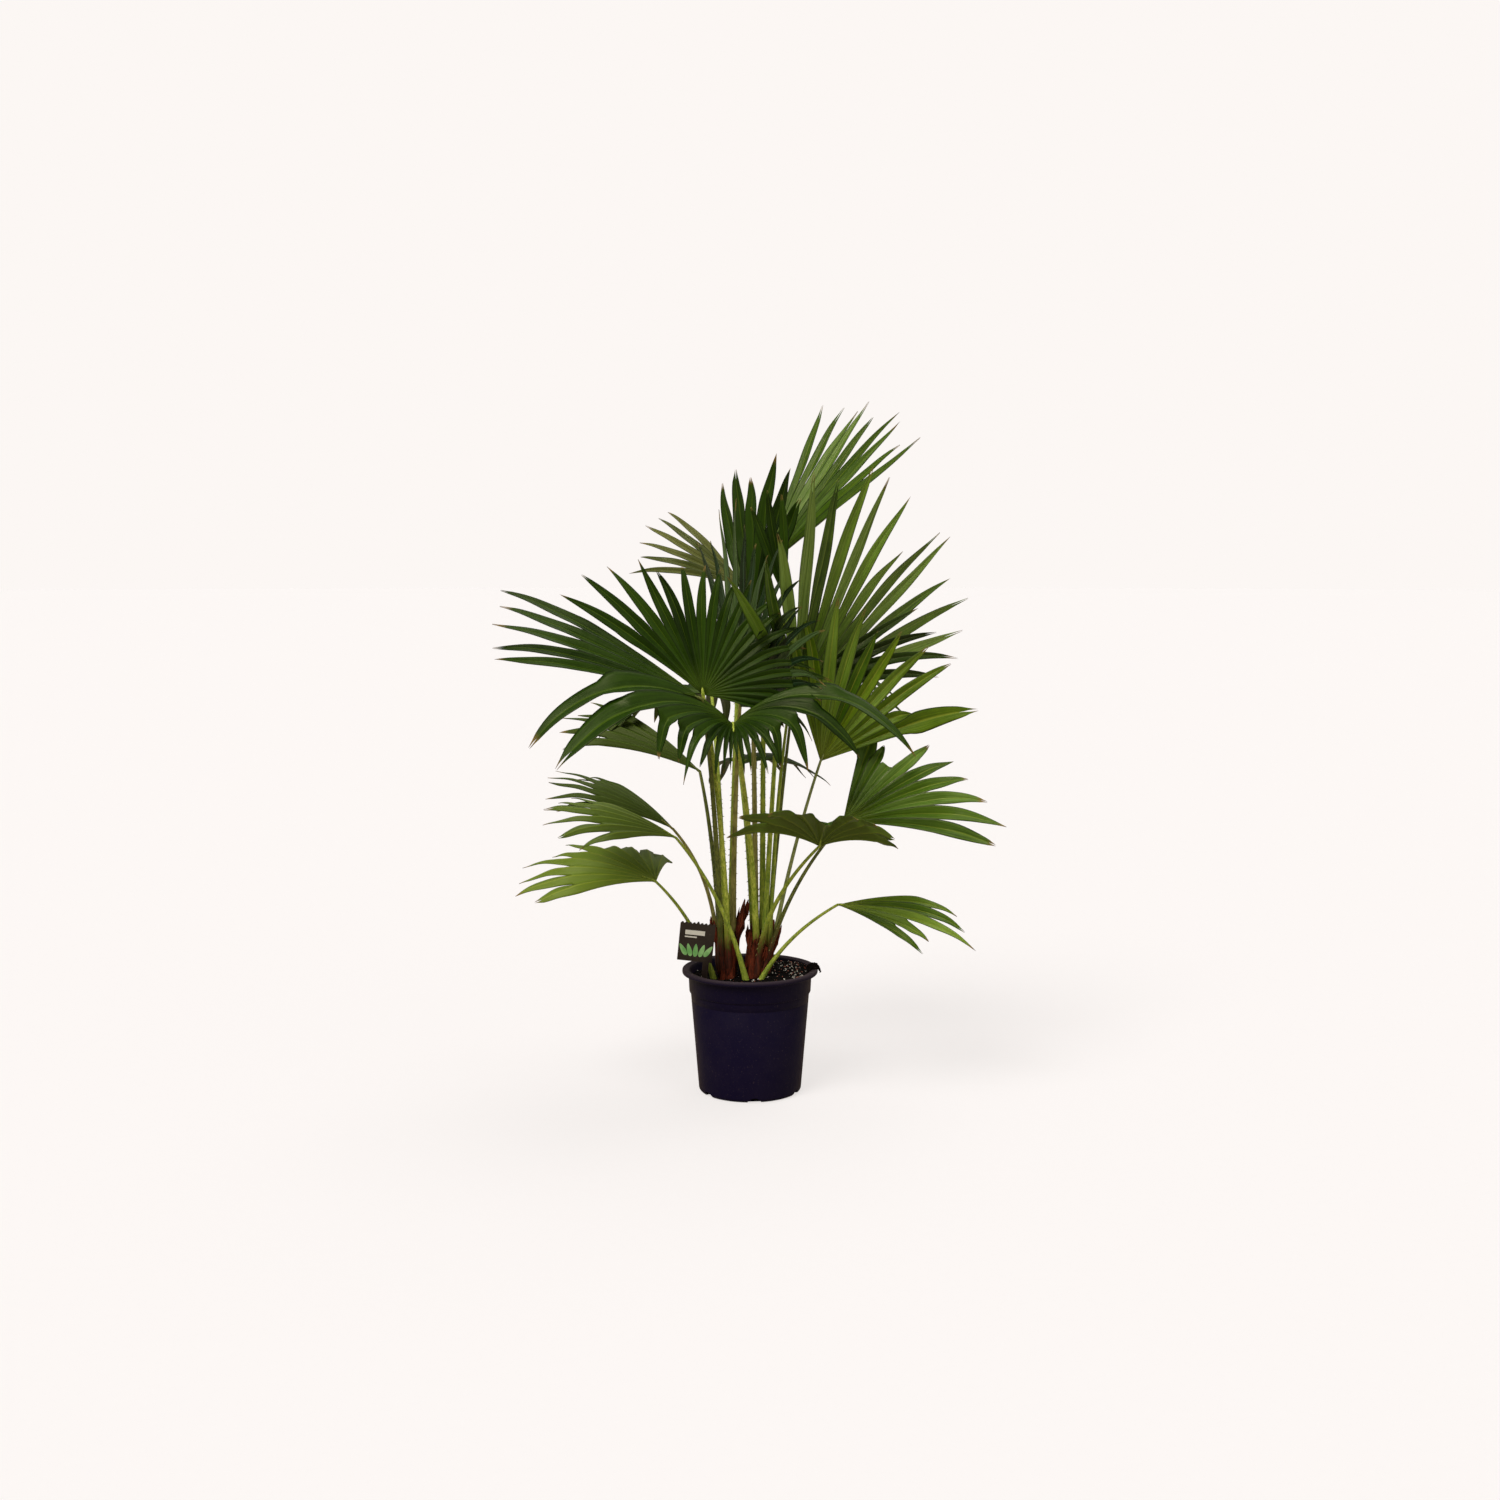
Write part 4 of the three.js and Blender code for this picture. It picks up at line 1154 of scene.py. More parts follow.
LEFT, RIGHT = Clump.LEFT, Clump.RIGHT
INNER, OUTER = Ring.INNER, Ring.OUTER
LEAVES = (
    FanLeaf(
        "front_left", Coat.DEEP, StalkCoat.BRIGHT, hub=(-0.077, -0.185, 0.718), aim=(-0.15, 0.12, 0.96),
        side=(1, 0.05, 0.12), fan=(-42, 110), reach=0.22, fingers=20,
        foot=StemFoot(LEFT, -85, OUTER), taper=-0.18, skew=-0.12, sag=0.22,
        short=(17, 18, 19), droop=0.07, twist=44,
    ),
    FanLeaf(
        "top_slim", Coat.DEEP, StalkCoat.GREEN, hub=(0.061, -0.07, 0.867), aim=(-0.12, -0.1, 0.98),
        side=(0.95, -0.3, 0.1), fan=(-18, 10), reach=0.2, fingers=3,
        foot=StemFoot(RIGHT, -64, INNER), taper=0.1, sag=0.02, bow=(0.4, 0.5),
    ),
    FanLeaf(
        "centre_upright", Coat.BLUE, StalkCoat.BROWNISH, hub=(-0.017, -0.06, 0.688),
        aim=(-0.05, 0.1, 0.99), side=(0.6, -0.8, 0.02), fan=(-18, 94), reach=0.286, fingers=20,
        foot=StemFoot(LEFT, -30, INNER), skew=-0.26, sag=0.08, split=0.5, droop=0.1, twist=34,
    ),
    FanLeaf(
        "right_high", Coat.OLIVE, StalkCoat.DARK, hub=(0.074, 0.01, 0.685), aim=(0.42, -0.05, 0.9),
        side=(0.52, 0.83, -0.2), fan=(-65, 62), reach=0.455, fingers=14,
        foot=StemFoot(RIGHT, 8, INNER), taper=0.06, skew=0.06, sag=0.1, split=0.34, shut=35,
        turn=22, short=(8,), twist=34, bow=(0.42, 0.5),
    ),
    FanLeaf(
        "right_mid", Coat.SHADE, StalkCoat.GREEN, hub=(0.07, -0.015, 0.698), aim=(0.88, 0.1, 0.56),
        side=(0.4, 0.2, -0.9), fan=(-14, 14), reach=0.29, fingers=4,
        foot=StemFoot(RIGHT, -18, OUTER), taper=0.05, sag=0.24,
    ),
    FanLeaf(
        "right_front", Coat.FRESH, StalkCoat.GREY, hub=(0.122, -0.04, 0.592), aim=(0.4, -0.05, 0.88),
        side=(0.9, 0.15, -0.36), fan=(-42, 47), reach=0.278, fingers=10,
        foot=StemFoot(RIGHT, 16, OUTER), sag=0.05, broad=(9,), short=(8,), bow=(0.42, 0.56),
    ),
    FanLeaf(
        "top_right", Coat.MID, StalkCoat.GREEN, hub=(0.026, 0.06, 0.924), aim=(0.61, 0, 0.79),
        side=(0.36, -0.86, -0.32), fan=(-36, 26), reach=0.354, fingers=9,
        foot=StemFoot(RIGHT, 80, INNER), skew=-0.05, sag=0.03, split=0.38, shut=42, turn=-20,
        twist=32,
    ),
    FanLeaf(
        "top_middle", Coat.DEEP, StalkCoat.BROWNISH, hub=(0.002, 0.03, 0.826), aim=(0.02, 0.05, 1),
        side=(0.55, -0.83, 0), fan=(-30, 38), reach=0.292, fingers=6,
        foot=StemFoot(RIGHT, 152, INNER), taper=0.08, sag=0.05, shut=35, turn=-15,
    ),
    FanLeaf(
        "top_left", Coat.KHAKI, StalkCoat.GREEN, hub=(-0.012, 0.11, 0.893), aim=(-0.86, 0.15, 0.48),
        side=(0.35, 0.5, 0.79), fan=(-18, 26), reach=0.2, fingers=6,
        foot=StemFoot(LEFT, 60, INNER), taper=0.05, sag=0.12,
    ),
    FanLeaf(
        "left", Coat.DEEP, StalkCoat.DARK, hub=(-0.078, -0.205, 0.712), aim=(-0.93, 0, 0.4),
        side=(0.25, 0.7, 0.66), fan=(-9, 18), reach=0.378, fingers=5,
        foot=StemFoot(LEFT, -130, OUTER), skew=0.05, sag=0.12, split=0.55,
    ),
    FanLeaf(
        "front_centre", Coat.DEEP, StalkCoat.BRIGHT, hub=(-0.028, -0.19, 0.672), aim=(0.05, -0.86, -0.4),
        side=(-1, 0, 0.02), fan=(-103, 107), reach=0.067, fingers=18,
        foot=StemFoot(RIGHT, -136, INNER), taper=-4.8, skew=0.12, sag=0.93, cup=0.88,
        droop=0.3, twist=58, broad=(16,), short=(2, 3, 14, 15),
    ),
    FanLeaf(
        "left_back", Coat.DEEP, StalkCoat.DARK, hub=(-0.09, 0.08, 0.56), aim=(-0.8, 0.3, 0.55),
        side=(-0.2, -0.8, -0.55), fan=(-15, 16), reach=0.29, fingers=5,
        foot=StemFoot(LEFT, 135, OUTER), taper=0.05, sag=0.28, split=0.62, twist=44, shut=38,
    ),
    FanLeaf(
        "back_low", Coat.SHADE, StalkCoat.GREEN, hub=(-0.02, 0.14, 0.565), aim=(0.5, 0.75, 0.38),
        side=(0.85, -0.5, 0), fan=(-58, 36), reach=0.2, fingers=9,
        foot=StemFoot(RIGHT, 106, OUTER), taper=0.1, sag=0.6,
    ),
    FanLeaf(
        "low_left_back", Coat.DEEP, StalkCoat.BROWNISH, hub=(-0.134, -0.03, 0.472),
        aim=(-0.82, -0.05, 0.57), side=(-0.2, -0.95, -0.15), fan=(-36, 16), reach=0.232, fingers=7,
        foot=StemFoot(LEFT, 180, OUTER), taper=0.1, sag=0.32, split=0.58, shut=36,
        bow=(0.05, 0.62),
    ),
    FanLeaf(
        "low_left_mid", Coat.MID, StalkCoat.GREEN, hub=(-0.126, -0.1, 0.467), aim=(-0.86, -0.15, 0.46),
        side=(-0.1, -0.97, -0.2), fan=(-22, 32), reach=0.238, fingers=6, foot=SoilFoot(-0.005, -0.036),
        taper=0.2, sag=0.26, split=0.56, twist=40, shut=36, bow=(0.3, 0.6),
    ),
    FanLeaf(
        "low_left_front", Coat.FRESH, StalkCoat.GREEN, hub=(-0.162, -0.075, 0.387),
        aim=(-0.95, 0.1, 0.3), side=(-0.15, -0.93, -0.33), fan=(-86, 27), reach=0.236, fingers=10,
        foot=SoilFoot(-0.062, -0.016), taper=0.16, skew=0.08, sag=0.3, split=0.6, shut=34, broad=(0,),
        bow=(0.3, 0.6),
    ),
    FanLeaf(
        "low_right_back", Coat.MID, StalkCoat.DARK, hub=(0.16, -0.06, 0.487), aim=(0.88, 0, 0.45),
        side=(0.35, -0.55, -0.75), fan=(-54, 29), reach=0.238, fingers=9,
        foot=StemFoot(RIGHT, -52, OUTER), skew=0.16, sag=0.2, split=0.58, shut=34, broad=(0,),
        short=(1, 2), bow=(0.3, 0.6),
    ),
    FanLeaf(
        "low_right_front", Coat.MID, StalkCoat.GREEN, hub=(0.117, -0.15, 0.461), aim=(0.05, -0.7, 0.62),
        side=(-1, -0.05, 0.1), fan=(-76, 76), reach=0.15, fingers=9,
        foot=StemFoot(RIGHT, -88, OUTER), skew=0.04, sag=0.42, cup=0.3, split=0.62, twist=40,
        shut=36, bow=(0.06, 0.5),
    ),
    FanLeaf(
        "low_right_small", Coat.FRESH, StalkCoat.GREEN, hub=(0.152, -0.06, 0.344),
        aim=(0.98, -0.1, 0.04), side=(0.1, -0.8, -0.6), fan=(-16, 28), reach=0.24, fingers=5,
        foot=SoilFoot(0.014, -0.04), taper=0.25, skew=-0.15, sag=0.2, split=0.52, shut=36, short=(3,),
        bow=(0.3, 0.6),
    ),
    FanLeaf(
        "back_high", Coat.MID, StalkCoat.GREEN, hub=(0.026, 0.13, 0.748), aim=(0.32, 0.86, 0.35),
        side=(1, -0.34, 0), fan=(-68, 75), reach=0.3, fingers=14,
        foot=StemFoot(RIGHT, 66, OUTER), taper=0.2, sag=0.5,
    ),
    FanLeaf(
        "back_left", Coat.DEEP, StalkCoat.GREEN, hub=(-0.07, 0.15, 0.694), aim=(-0.6, 0.74, 0.3),
        side=(0.78, 0.6, 0), fan=(-60, 52), reach=0.28, fingers=11,
        foot=StemFoot(LEFT, 150, INNER), taper=0.2, sag=0.6,
    ),
)


@dataclass(frozen=True)
class FanBlade:
    """The pleated fan of a leaf: joined from the hub to the split, then free segments.

    Lengths along a free end are shares of it, from 0 at the split to 1 at the tip.
    """

    leaf: FanLeaf
    joined_rows: int = 10
    free_rows: int = 16
    row_curve: float = 0.9
    columns: tuple[float, ...] = (0.0, 0.1, 0.35, 0.7, 1.0)  # from rib to seam, in shares of the half
    start: float = 0.003
    thickness: tuple[float, float] = (0.0012, 0.0007)  # at the hub and at the tips
    rib_rise: float = 0.0007
    swell: float = 0.14  # how much wider a segment grows before it tapers
    point: float = 1.75  # how late a segment tapers
    broadness: float = 0.8
    broad_over: float = 0.3
    early_end: float = 0.3
    unfold: float = 0.6  # share of its fold that a segment loses once it is free
    unfold_over: float = 0.5
    part_over: float = 0.25  # how soon a free segment leaves the shape of the joined fan
    fork_chance: float = -0.35  # segments whose draw is above this have a forked tip
    fork_from: float = 0.86
    fork_scatter: float = 0.06
    fork_width: float = 0.14
    turn_over: float = 0.6
    wave: float = 0.0014
    waves: float = 9.5
    light_chance: float = 0.35  # segments whose draw is above this are lighter

    def rows(self) -> tuple[Array, Array]:
        """Parts of the way out for each row, and how far along its free end each is."""
        leaf = self.leaf
        joined = np.linspace(self.start / leaf.reach, leaf.split, self.joined_rows)
        free = np.linspace(0.0, 1.0, self.free_rows + 1)[1:] ** self.row_curve
        part = np.concatenate([joined, leaf.split + (1 - leaf.split) * free])
        return part, np.concatenate([np.zeros(self.joined_rows), free])

    def free_end(self, k: int, free: Array) -> tuple[Array, Array]:
        """The outline of a segment's free end.

        Args:
            k: The segment's number.
            free: How far along its free end each row is.

        Returns:
            Its width in shares of the width at the split, and how wide its fork gapes.
        """
        leaf = self.leaf
        forked = leaf.chance(k + Draw.FORK) > self.fork_chance
        fork_at = self.fork_from + self.fork_scatter * leaf.chance(k + Draw.FORK_AT)
        fork = np.clip((free - fork_at) / (1 - fork_at), 0, 1) if forked else np.zeros_like(free)
        least = self.fork_width if forked else 0.0
        width = (1 + self.swell * free) * (1 - free**self.point) + least * free**2
        if k in leaf.broad:
            width = width * (1 + self.broadness * smooth(free / self.broad_over))
        return width, fork

    def across(self, hand: int, fork: Array) -> Array:
        """Where each point lies between the seam before, at -1, the rib, at 0, and the seam after."""
        inner, outer = 0.5 * fork, 1 - 0.5 * fork
        s = hand * (inner[:, None] + (outer - inner)[:, None] * np.array(self.columns))
        return s[:, ::-1] if hand < 0 else s

    def half_segment(self, k: int, hand: int) -> tuple[Array, Array, Array]:
        """The points of one half of a segment, from its rib to its edge.

        Args:
            k: The segment's number.
            hand: -1 for the half before its rib, 1 for the half after.

        Returns:
            The points, their place on the fan, and half their thickness.
        """
        leaf = self.leaf
        step = (leaf.fan[1] - leaf.fan[0]) / leaf.fingers
        middle = leaf.fan[0] + step * (k + 0.5)
        part, free = self.rows()
        width, fork = self.free_end(k, free)
        s = self.across(hand, fork)
        rise = np.abs(s) - 0.5
        lean = step * STAGGER * leaf.chance(k + Draw.LEAN)
        centre = np.broadcast_to((middle + lean * free**1.6)[:, None], s.shape)
        rows = np.broadcast_to(part[:, None], s.shape)
        along = np.broadcast_to(free[:, None], s.shape)
        length = leaf.length(middle)
        early = self.early_end if k in leaf.short else 0.0
        more = length * (UNEVEN * leaf.chance(k + Draw.LENGTH) - early)
        shut = math.radians(leaf.shut)

        # where the point lies as long as the fan is joined
        arc = s * 0.5 * step
        fan_length = leaf.length(centre + arc)
        on_fan, _, fan_face = leaf.spot(centre + arc, fan_length * rows + more * along, rows)
        fan_half = 0.5 * math.radians(step) * fan_length * np.minimum(rows, leaf.split)
        joined = on_fan + fan_face * (rise * fan_half * math.tan(shut))[..., None]

        # where it lies on a free segment, which unfolds and rolls about its rib
        fold = shut * (1 - self.unfold * smooth(free / self.unfold_over))
        half = 0.5 * math.radians(step) * length * leaf.split / math.cos(shut) * width
        x, lift = s * (half * np.cos(fold))[:, None], rise * (half * np.sin(fold))[:, None]
        on_rib, over, face = leaf.spot(centre, length * rows + more * along, rows)
        twist = leaf.twist * leaf.chance(k + Draw.TWIST) * along**1.5
        roll = np.radians(twist + leaf.turn * smooth(along / self.turn_over))
        aside = (x * np.cos(roll) - lift * np.sin(roll))[..., None]
        raised = (x * np.sin(roll) + lift * np.cos(roll))[..., None]
        strip = on_rib + over * aside + face * raised

        # from the one to the other, with a raised rib, and with tips that hang and ripple
        rib = (np.abs(s) < 1e-6) * self.rib_rise * (1 - 0.7 * rows)
        blend = smooth(along / self.part_over)
        points = joined + (strip - joined) * blend[..., None] - face * rib[..., None]
        hang = leaf.reach * leaf.droop * (1 + 0.8 * leaf.chance(k + Draw.DROOP)) * along**2.2
        ripple = self.wave * np.sin(self.waves * along + 3 * leaf.chance(k + Draw.RIPPLE)) * along
        points = points + DOWN * hang[..., None] + face * ripple[..., None]
        lay = np.stack([k + 0.5 + s / 2, rows], axis=-1)
        thick = self.thickness[0] + (self.thickness[1] - self.thickness[0]) * part
        return points, lay, np.broadcast_to(thick[:, None] / 2, s.shape)

    def build(self, finishes: Finishes) -> None:
        """The blade as a piece."""
        leaf = self.leaf
        surface = Surface()
        for k in range(leaf.fingers):
            slot = 1 if leaf.chance(k + Draw.TINT) > self.light_chance else 0
            for hand in (-1, 1):
                surface.grid(*self.half_segment(k, hand), slot)
        surface.weld()
        surface.thicken(under_slot=2)
        mesh = surface.mesh(*finishes.leaves[leaf.coat])
        settle(mesh, f"fan_{leaf.name}", [f"blade_{leaf.name}"])


@dataclass(frozen=True)
class LeafStalk:
    """The stalk of a leaf: it rises steeply, leans out, and runs a little way under its blade."""

    leaf: FanLeaf
    foot_radius: float = 0.0054
    tip_radius: float = 0.0029
    end_radius: float = 0.0009
    flare: float = 0.0016
    soil_flare: float = 0.0032
    flare_reach: float = 0.1
    flatness: float = 0.78
    sides: int = 14
    rings: int = 34
    end_rings: int = 6
    root_drop: float = 0.045
    root_rings: int = 8
    root_curve: float = 1.5
    root_inwards: float = 0.75  # how near the stem's middle the root ends
    root_swell: float = 0.15
    spine_spacing: float = 0.011
    spine_part: tuple[float, float] = (0.1, 0.62)
    spine_scatter: float = 0.35
    spine_seat: float = 0.97  # in shares of the stalk's radius
    spine_slant: float = 0.5

    def line(self) -> tuple[Array, Array]:
        """The stalk's middle line and its radius at each point. On a stem it starts with its root."""
        leaf = self.leaf
        foot, hub = leaf.stalk_foot(), np.array(leaf.hub)
        along, up = leaf.bow
        bend = foot + (hub - foot) * np.array((along, along, up))
        u = np.linspace(0, 1, self.rings)[:, None]
        curve = (1 - u) ** 2 * foot + 2 * u * (1 - u) * bend + u**2 * hub
        radius = self.foot_radius + (self.tip_radius - self.foot_radius) * u[:, 0]
        flare = self.soil_flare if isinstance(leaf.foot, SoilFoot) else self.flare
        radius = radius + flare * np.exp(-u[:, 0] / self.flare_reach)
        aim, _, up_face = leaf.axes()
        v = np.linspace(0, 1, self.end_rings + 1)[1:, None]
        under = hub + aim * STALK_UNDER_BLADE * 2 * v - up_face * self.tip_radius * 0.7 * smooth(v)
        under_radius = self.tip_radius + (self.end_radius - self.tip_radius) * v[:, 0]
        way, girth = np.vstack([curve, under]), np.concatenate([radius, under_radius])
        if isinstance(leaf.foot, SoilFoot):
            return way, girth
        w = np.linspace(1, 0, self.root_rings, endpoint=False)[:, None]
        heart = STEMS[leaf.foot.clump].axis(foot[2] - self.root_drop)
        root = foot + np.array((0, 0, -self.root_drop)) * w
        root[:, :2] += (heart[:2] - foot[:2]) * w**self.root_curve * self.root_inwards
        thick = girth[0] * (1 + self.root_swell * np.sin(math.pi * w[:, 0]))
        return np.vstack([root, way]), np.concatenate([thick, girth])

    def margins(self, points: Array) -> tuple[Array, Array]:
        """The way of the stalk and the way across it at each point."""
        way = unit(np.gradient(points, axis=0))
        away = unit(points[-1] - points[0])
        hub_way = np.array((away[0] + NEVER_ZERO, away[1], 0.0))
        across = unit(np.cross(way, hub_way))
        for i in range(1, len(across)):
            if across[i] @ across[i - 1] < 0:
                across[i] = -across[i]
        return way, across

    def build(self, finishes: Finishes, growth: Growth) -> None:
        """The stalk as a piece."""
        points, radius = self.line()
        way, across = self.margins(points)
        mesh = bpy.data.meshes.new("stalk_line")
        count = len(points)
        mesh.from_pydata(points.tolist(), [(i, i + 1) for i in range(count - 1)], [])
        mark(mesh, "girth", radius)
        mark(mesh, "over", np.cross(across, way))
        made = grown(
            mesh, growth.stalk, Sides=self.sides, Flatness=self.flatness,
            Material=finishes.stalks[self.leaf.stalk_coat, isinstance(self.leaf.foot, StemFoot)],
        )
        made.shade_smooth()
        settle(made, f"leafstalk_{self.leaf.name}", [f"stalk_{self.leaf.name}"])

    def spine_seats(self) -> tuple[Array, Array]:
        """Where the marginal spines sit, and the way that each looks."""
        points, radius = self.line()
        way, across = self.margins(points)
        root = len(points) - self.rings - self.end_rings
        points, radius, way, across = points[root:], radius[root:], way[root:], across[root:]
        total = float(np.sum(np.linalg.norm(np.diff(points[: self.rings], axis=0), axis=1)))
        low, high = self.spine_part
        count = max(2, int(total * (high - low) / self.spine_spacing))
        seats, looks = [], []
        for hand in (-1, 1):
            for i in range(count):
                scatter = self.spine_scatter * self.leaf.chance(Draw.SPINE + 2 * i + hand)
                at = (low + (high - low) * (i + 0.5 + scatter) / count) * (self.rings - 1)
                place, side, up = (self.between(at, rows) for rows in (points, across, way))
                seats.append(place + side * hand * self.between(at, radius) * self.spine_seat)
                looks.append(side * hand - self.spine_slant * up)
        return np.array(seats), unit(np.array(looks))

    @staticmethod
    def between(at: float, rows: Array) -> Array:
        """The value between two rows of a list of numbers or points."""
        index, table = np.arange(len(rows)), rows.reshape(len(rows), -1)
        return np.array([np.interp(at, index, column) for column in table.T])


@dataclass(frozen=True)
class Crown:
    """All the leaves, with the spines along their stalks."""

    spine_length: float = 0.0032
    spine_width: float = 0.0009
    spine_seed: int = 3

    def build(self, finishes: Finishes, growth: Growth) -> None:
        """Builds blades, stalks and spines."""
        seats, looks = [], []
        for leaf in LEAVES:
            FanBlade(leaf).build(finishes)
            stalk = LeafStalk(leaf)
            stalk.build(finishes, growth)
            at, look = stalk.spine_seats()
            seats.append(at)
            looks.append(look)
        mesh = bpy.data.meshes.new("spine_seats")
        mesh.from_pydata(np.vstack(seats).tolist(), [], [])
        mark(mesh, "out", np.vstack(looks))
        made = grown(
            mesh, growth.spines, Length=self.spine_length, Width=self.spine_width, Seed=self.spine_seed,
            Material=finishes.spine,
        )
        settle(made, "spines")


# ---- stems ----


@dataclass(frozen=True)
class TornBase:
    """An old leaf base wrapped round a stem, torn along its upper edge, which stands off.

    angle and spread are degrees round the stem from the right, low and high its ends' heights, and
    flare how far its upper edge stands out.
    """

    clump: Clump
    angle: float
    spread: float
    low: float
    high: float
    flare: float
    teeth: float = 5.0
    ragged: float = 0.014
    rows: int = 16
    columns: int = 26
    lift: float = 0.0016
    thickness: float = 0.001
    narrowing: float = 0.35
    buckle: float = 0.001
    fluting: float = 0.0006
    shoulder: float = 0.75  # above this share of the stem's height it no longer draws in with it


TORN_BASES = (
    TornBase(LEFT, -12, 80, 0.235, 0.338, 0.019, ragged=0.03, teeth=2),
    TornBase(LEFT, -75, 110, 0.2, 0.292, 0.007, ragged=0.02, teeth=4),
    TornBase(LEFT, 196, 90, 0.215, 0.306, 0.02, ragged=0.022, teeth=2),
    TornBase(LEFT, 25, 60, 0.25, 0.332, 0.012, ragged=0.03, teeth=3),
    TornBase(LEFT, 100, 110, 0.2, 0.3, 0.01, ragged=0.02),
    TornBase(RIGHT, 176, 90, 0.215, 0.296, 0.012, ragged=0.026, teeth=4),
    TornBase(RIGHT, -110, 80, 0.2, 0.284, 0.009, ragged=0.02, teeth=3),
    TornBase(RIGHT, -50, 90, 0.2, 0.27, 0.01, ragged=0.018, teeth=4),
    TornBase(RIGHT, 0, 80, 0.21, 0.296, 0.011, ragged=0.03, teeth=4),
    TornBase(RIGHT, 80, 100, 0.2, 0.3, 0.012, ragged=0.02),
)


@dataclass(frozen=True)
class FibrousStem:
    """A short stem with the relief of its fibres."""

    clump: Clump
    around: int = 110
    levels: int = 60
    lobe_depth: float = 0.1
    twist: float = 1.5
    shoulder: float = 0.5
    ragged: float = 0.005
    into_soil: float = 0.006
    relief: float = 0.0016
    hair_density: float = 22000.0
    hair_length: float = 0.009
    hair_width: float = 0.00035
    hair_seed: int = 5

    def radius(self, angle: Array, u: Array) -> Array:
        """The stem's radius, round it and up it."""
        shape = STEMS[self.clump]
        lobe = 1 + self.lobe_depth * np.sin(shape.lobes * angle + shape.turn + self.twist * u)
        bare = shape.radius + (shape.waist - shape.radius) * u
        return bare * lobe * (1 - self.shoulder * u**6)

    def fibres(self, angle: Array, u: Array) -> Array:
        """The height of the fibres and of the wrapped edges of old bases."""
        cords = np.sin(31 * angle + 2.2 * np.sin(5 * u + 2 * angle)) + 0.6 * np.sin(53 * angle + 9 * u)
        wraps = np.mod(3 * angle / math.tau + 3.2 * u, 1.0)
        return self.relief * (0.35 * cords + 1.6 * wraps**3)

    def build(self, finishes: Finishes, growth: Growth) -> None:
        """The stem and its hairs."""
        shape = STEMS[self.clump]
        bottom = SOIL_LEVEL - self.into_soil
        u = np.linspace(0, 1, self.levels + 1)[:, None]
        angle = all_round(self.around)[None, :]
        radius = self.radius(angle, u) + self.fibres(angle, u)
        axis = shape.axis(bottom + (shape.top[2] - bottom) * u[:, 0])
        torn = u**8 * self.ragged * np.sin(3 * angle + shape.turn)
        surface = Surface()
        index = surface.grid(axis[:, None, :] + round_about(radius, angle, torn), around=True)
        surface.cap(index[0], shape.axis(bottom), turned=True)
        surface.cap(index[-1], shape.axis(shape.top[2]))
        mesh = surface.mesh(finishes.stem)
        hairs = grown(
            mesh.copy(), growth.fibres, Density=self.hair_density, Length=self.hair_length,
            Width=self.hair_width, Seed=self.hair_seed + shape.lobes, Material=finishes.sheath,
        )
        settle(mesh, f"fibrous_stem_{self.clump.value}", [f"stem_{self.clump.value}"])
        settle(hairs, f"stem_hairs_{self.clump.value}")


class TornBases:
    """The torn leaf bases of both stems."""

    @staticmethod
    def points(base: TornBase) -> Array:
        """One base's grid of points, from its foot to its torn edge."""
        shape = STEMS[base.clump]
        across = np.linspace(-0.5, 0.5, base.columns)[None, :]
        up = np.linspace(0, 1, base.rows)[:, None]
        narrowing = 1 - base.narrowing * up
        angle = math.radians(base.angle) + across * math.radians(base.spread) * narrowing
        saw = np.abs(np.mod(across * base.teeth + 0.3 * np.sin(11 * across), 1.0) - 0.5) * 2
        jag = saw + 0.3 * np.sin(23 * across + base.angle)
        end = base.high - base.ragged * jag * (0.6 + 1.4 * np.abs(across))
        z = base.low + (end - base.low) * up
        within = np.clip((z - SOIL_LEVEL) / (shape.top[2] - SOIL_LEVEL), 0, base.shoulder)
        stem = FibrousStem(base.clump).radius(angle, within)
        stand = base.lift + base.buckle * (1 + np.sin(9 * across + base.angle)) + base.flare * up**2.5
        stand = stand + base.fluting * np.sin(60 * across + 3 * up)
        return shape.axis(z) + round_about(stem + stand, angle, 0.0)

    def build(self, finishes: Finishes) -> None:
        """All of them as one piece."""
        surface = Surface()
        for base in TORN_BASES:
            part = Surface()
            part.grid(self.points(base), half=base.thickness / 2)
            part.thicken()
            start = surface.add_points(part.points)
            surface.add_faces(start[np.array(part.faces)])
        settle(surface.mesh(finishes.sheath), "torn_bases")


# ---- pot ----


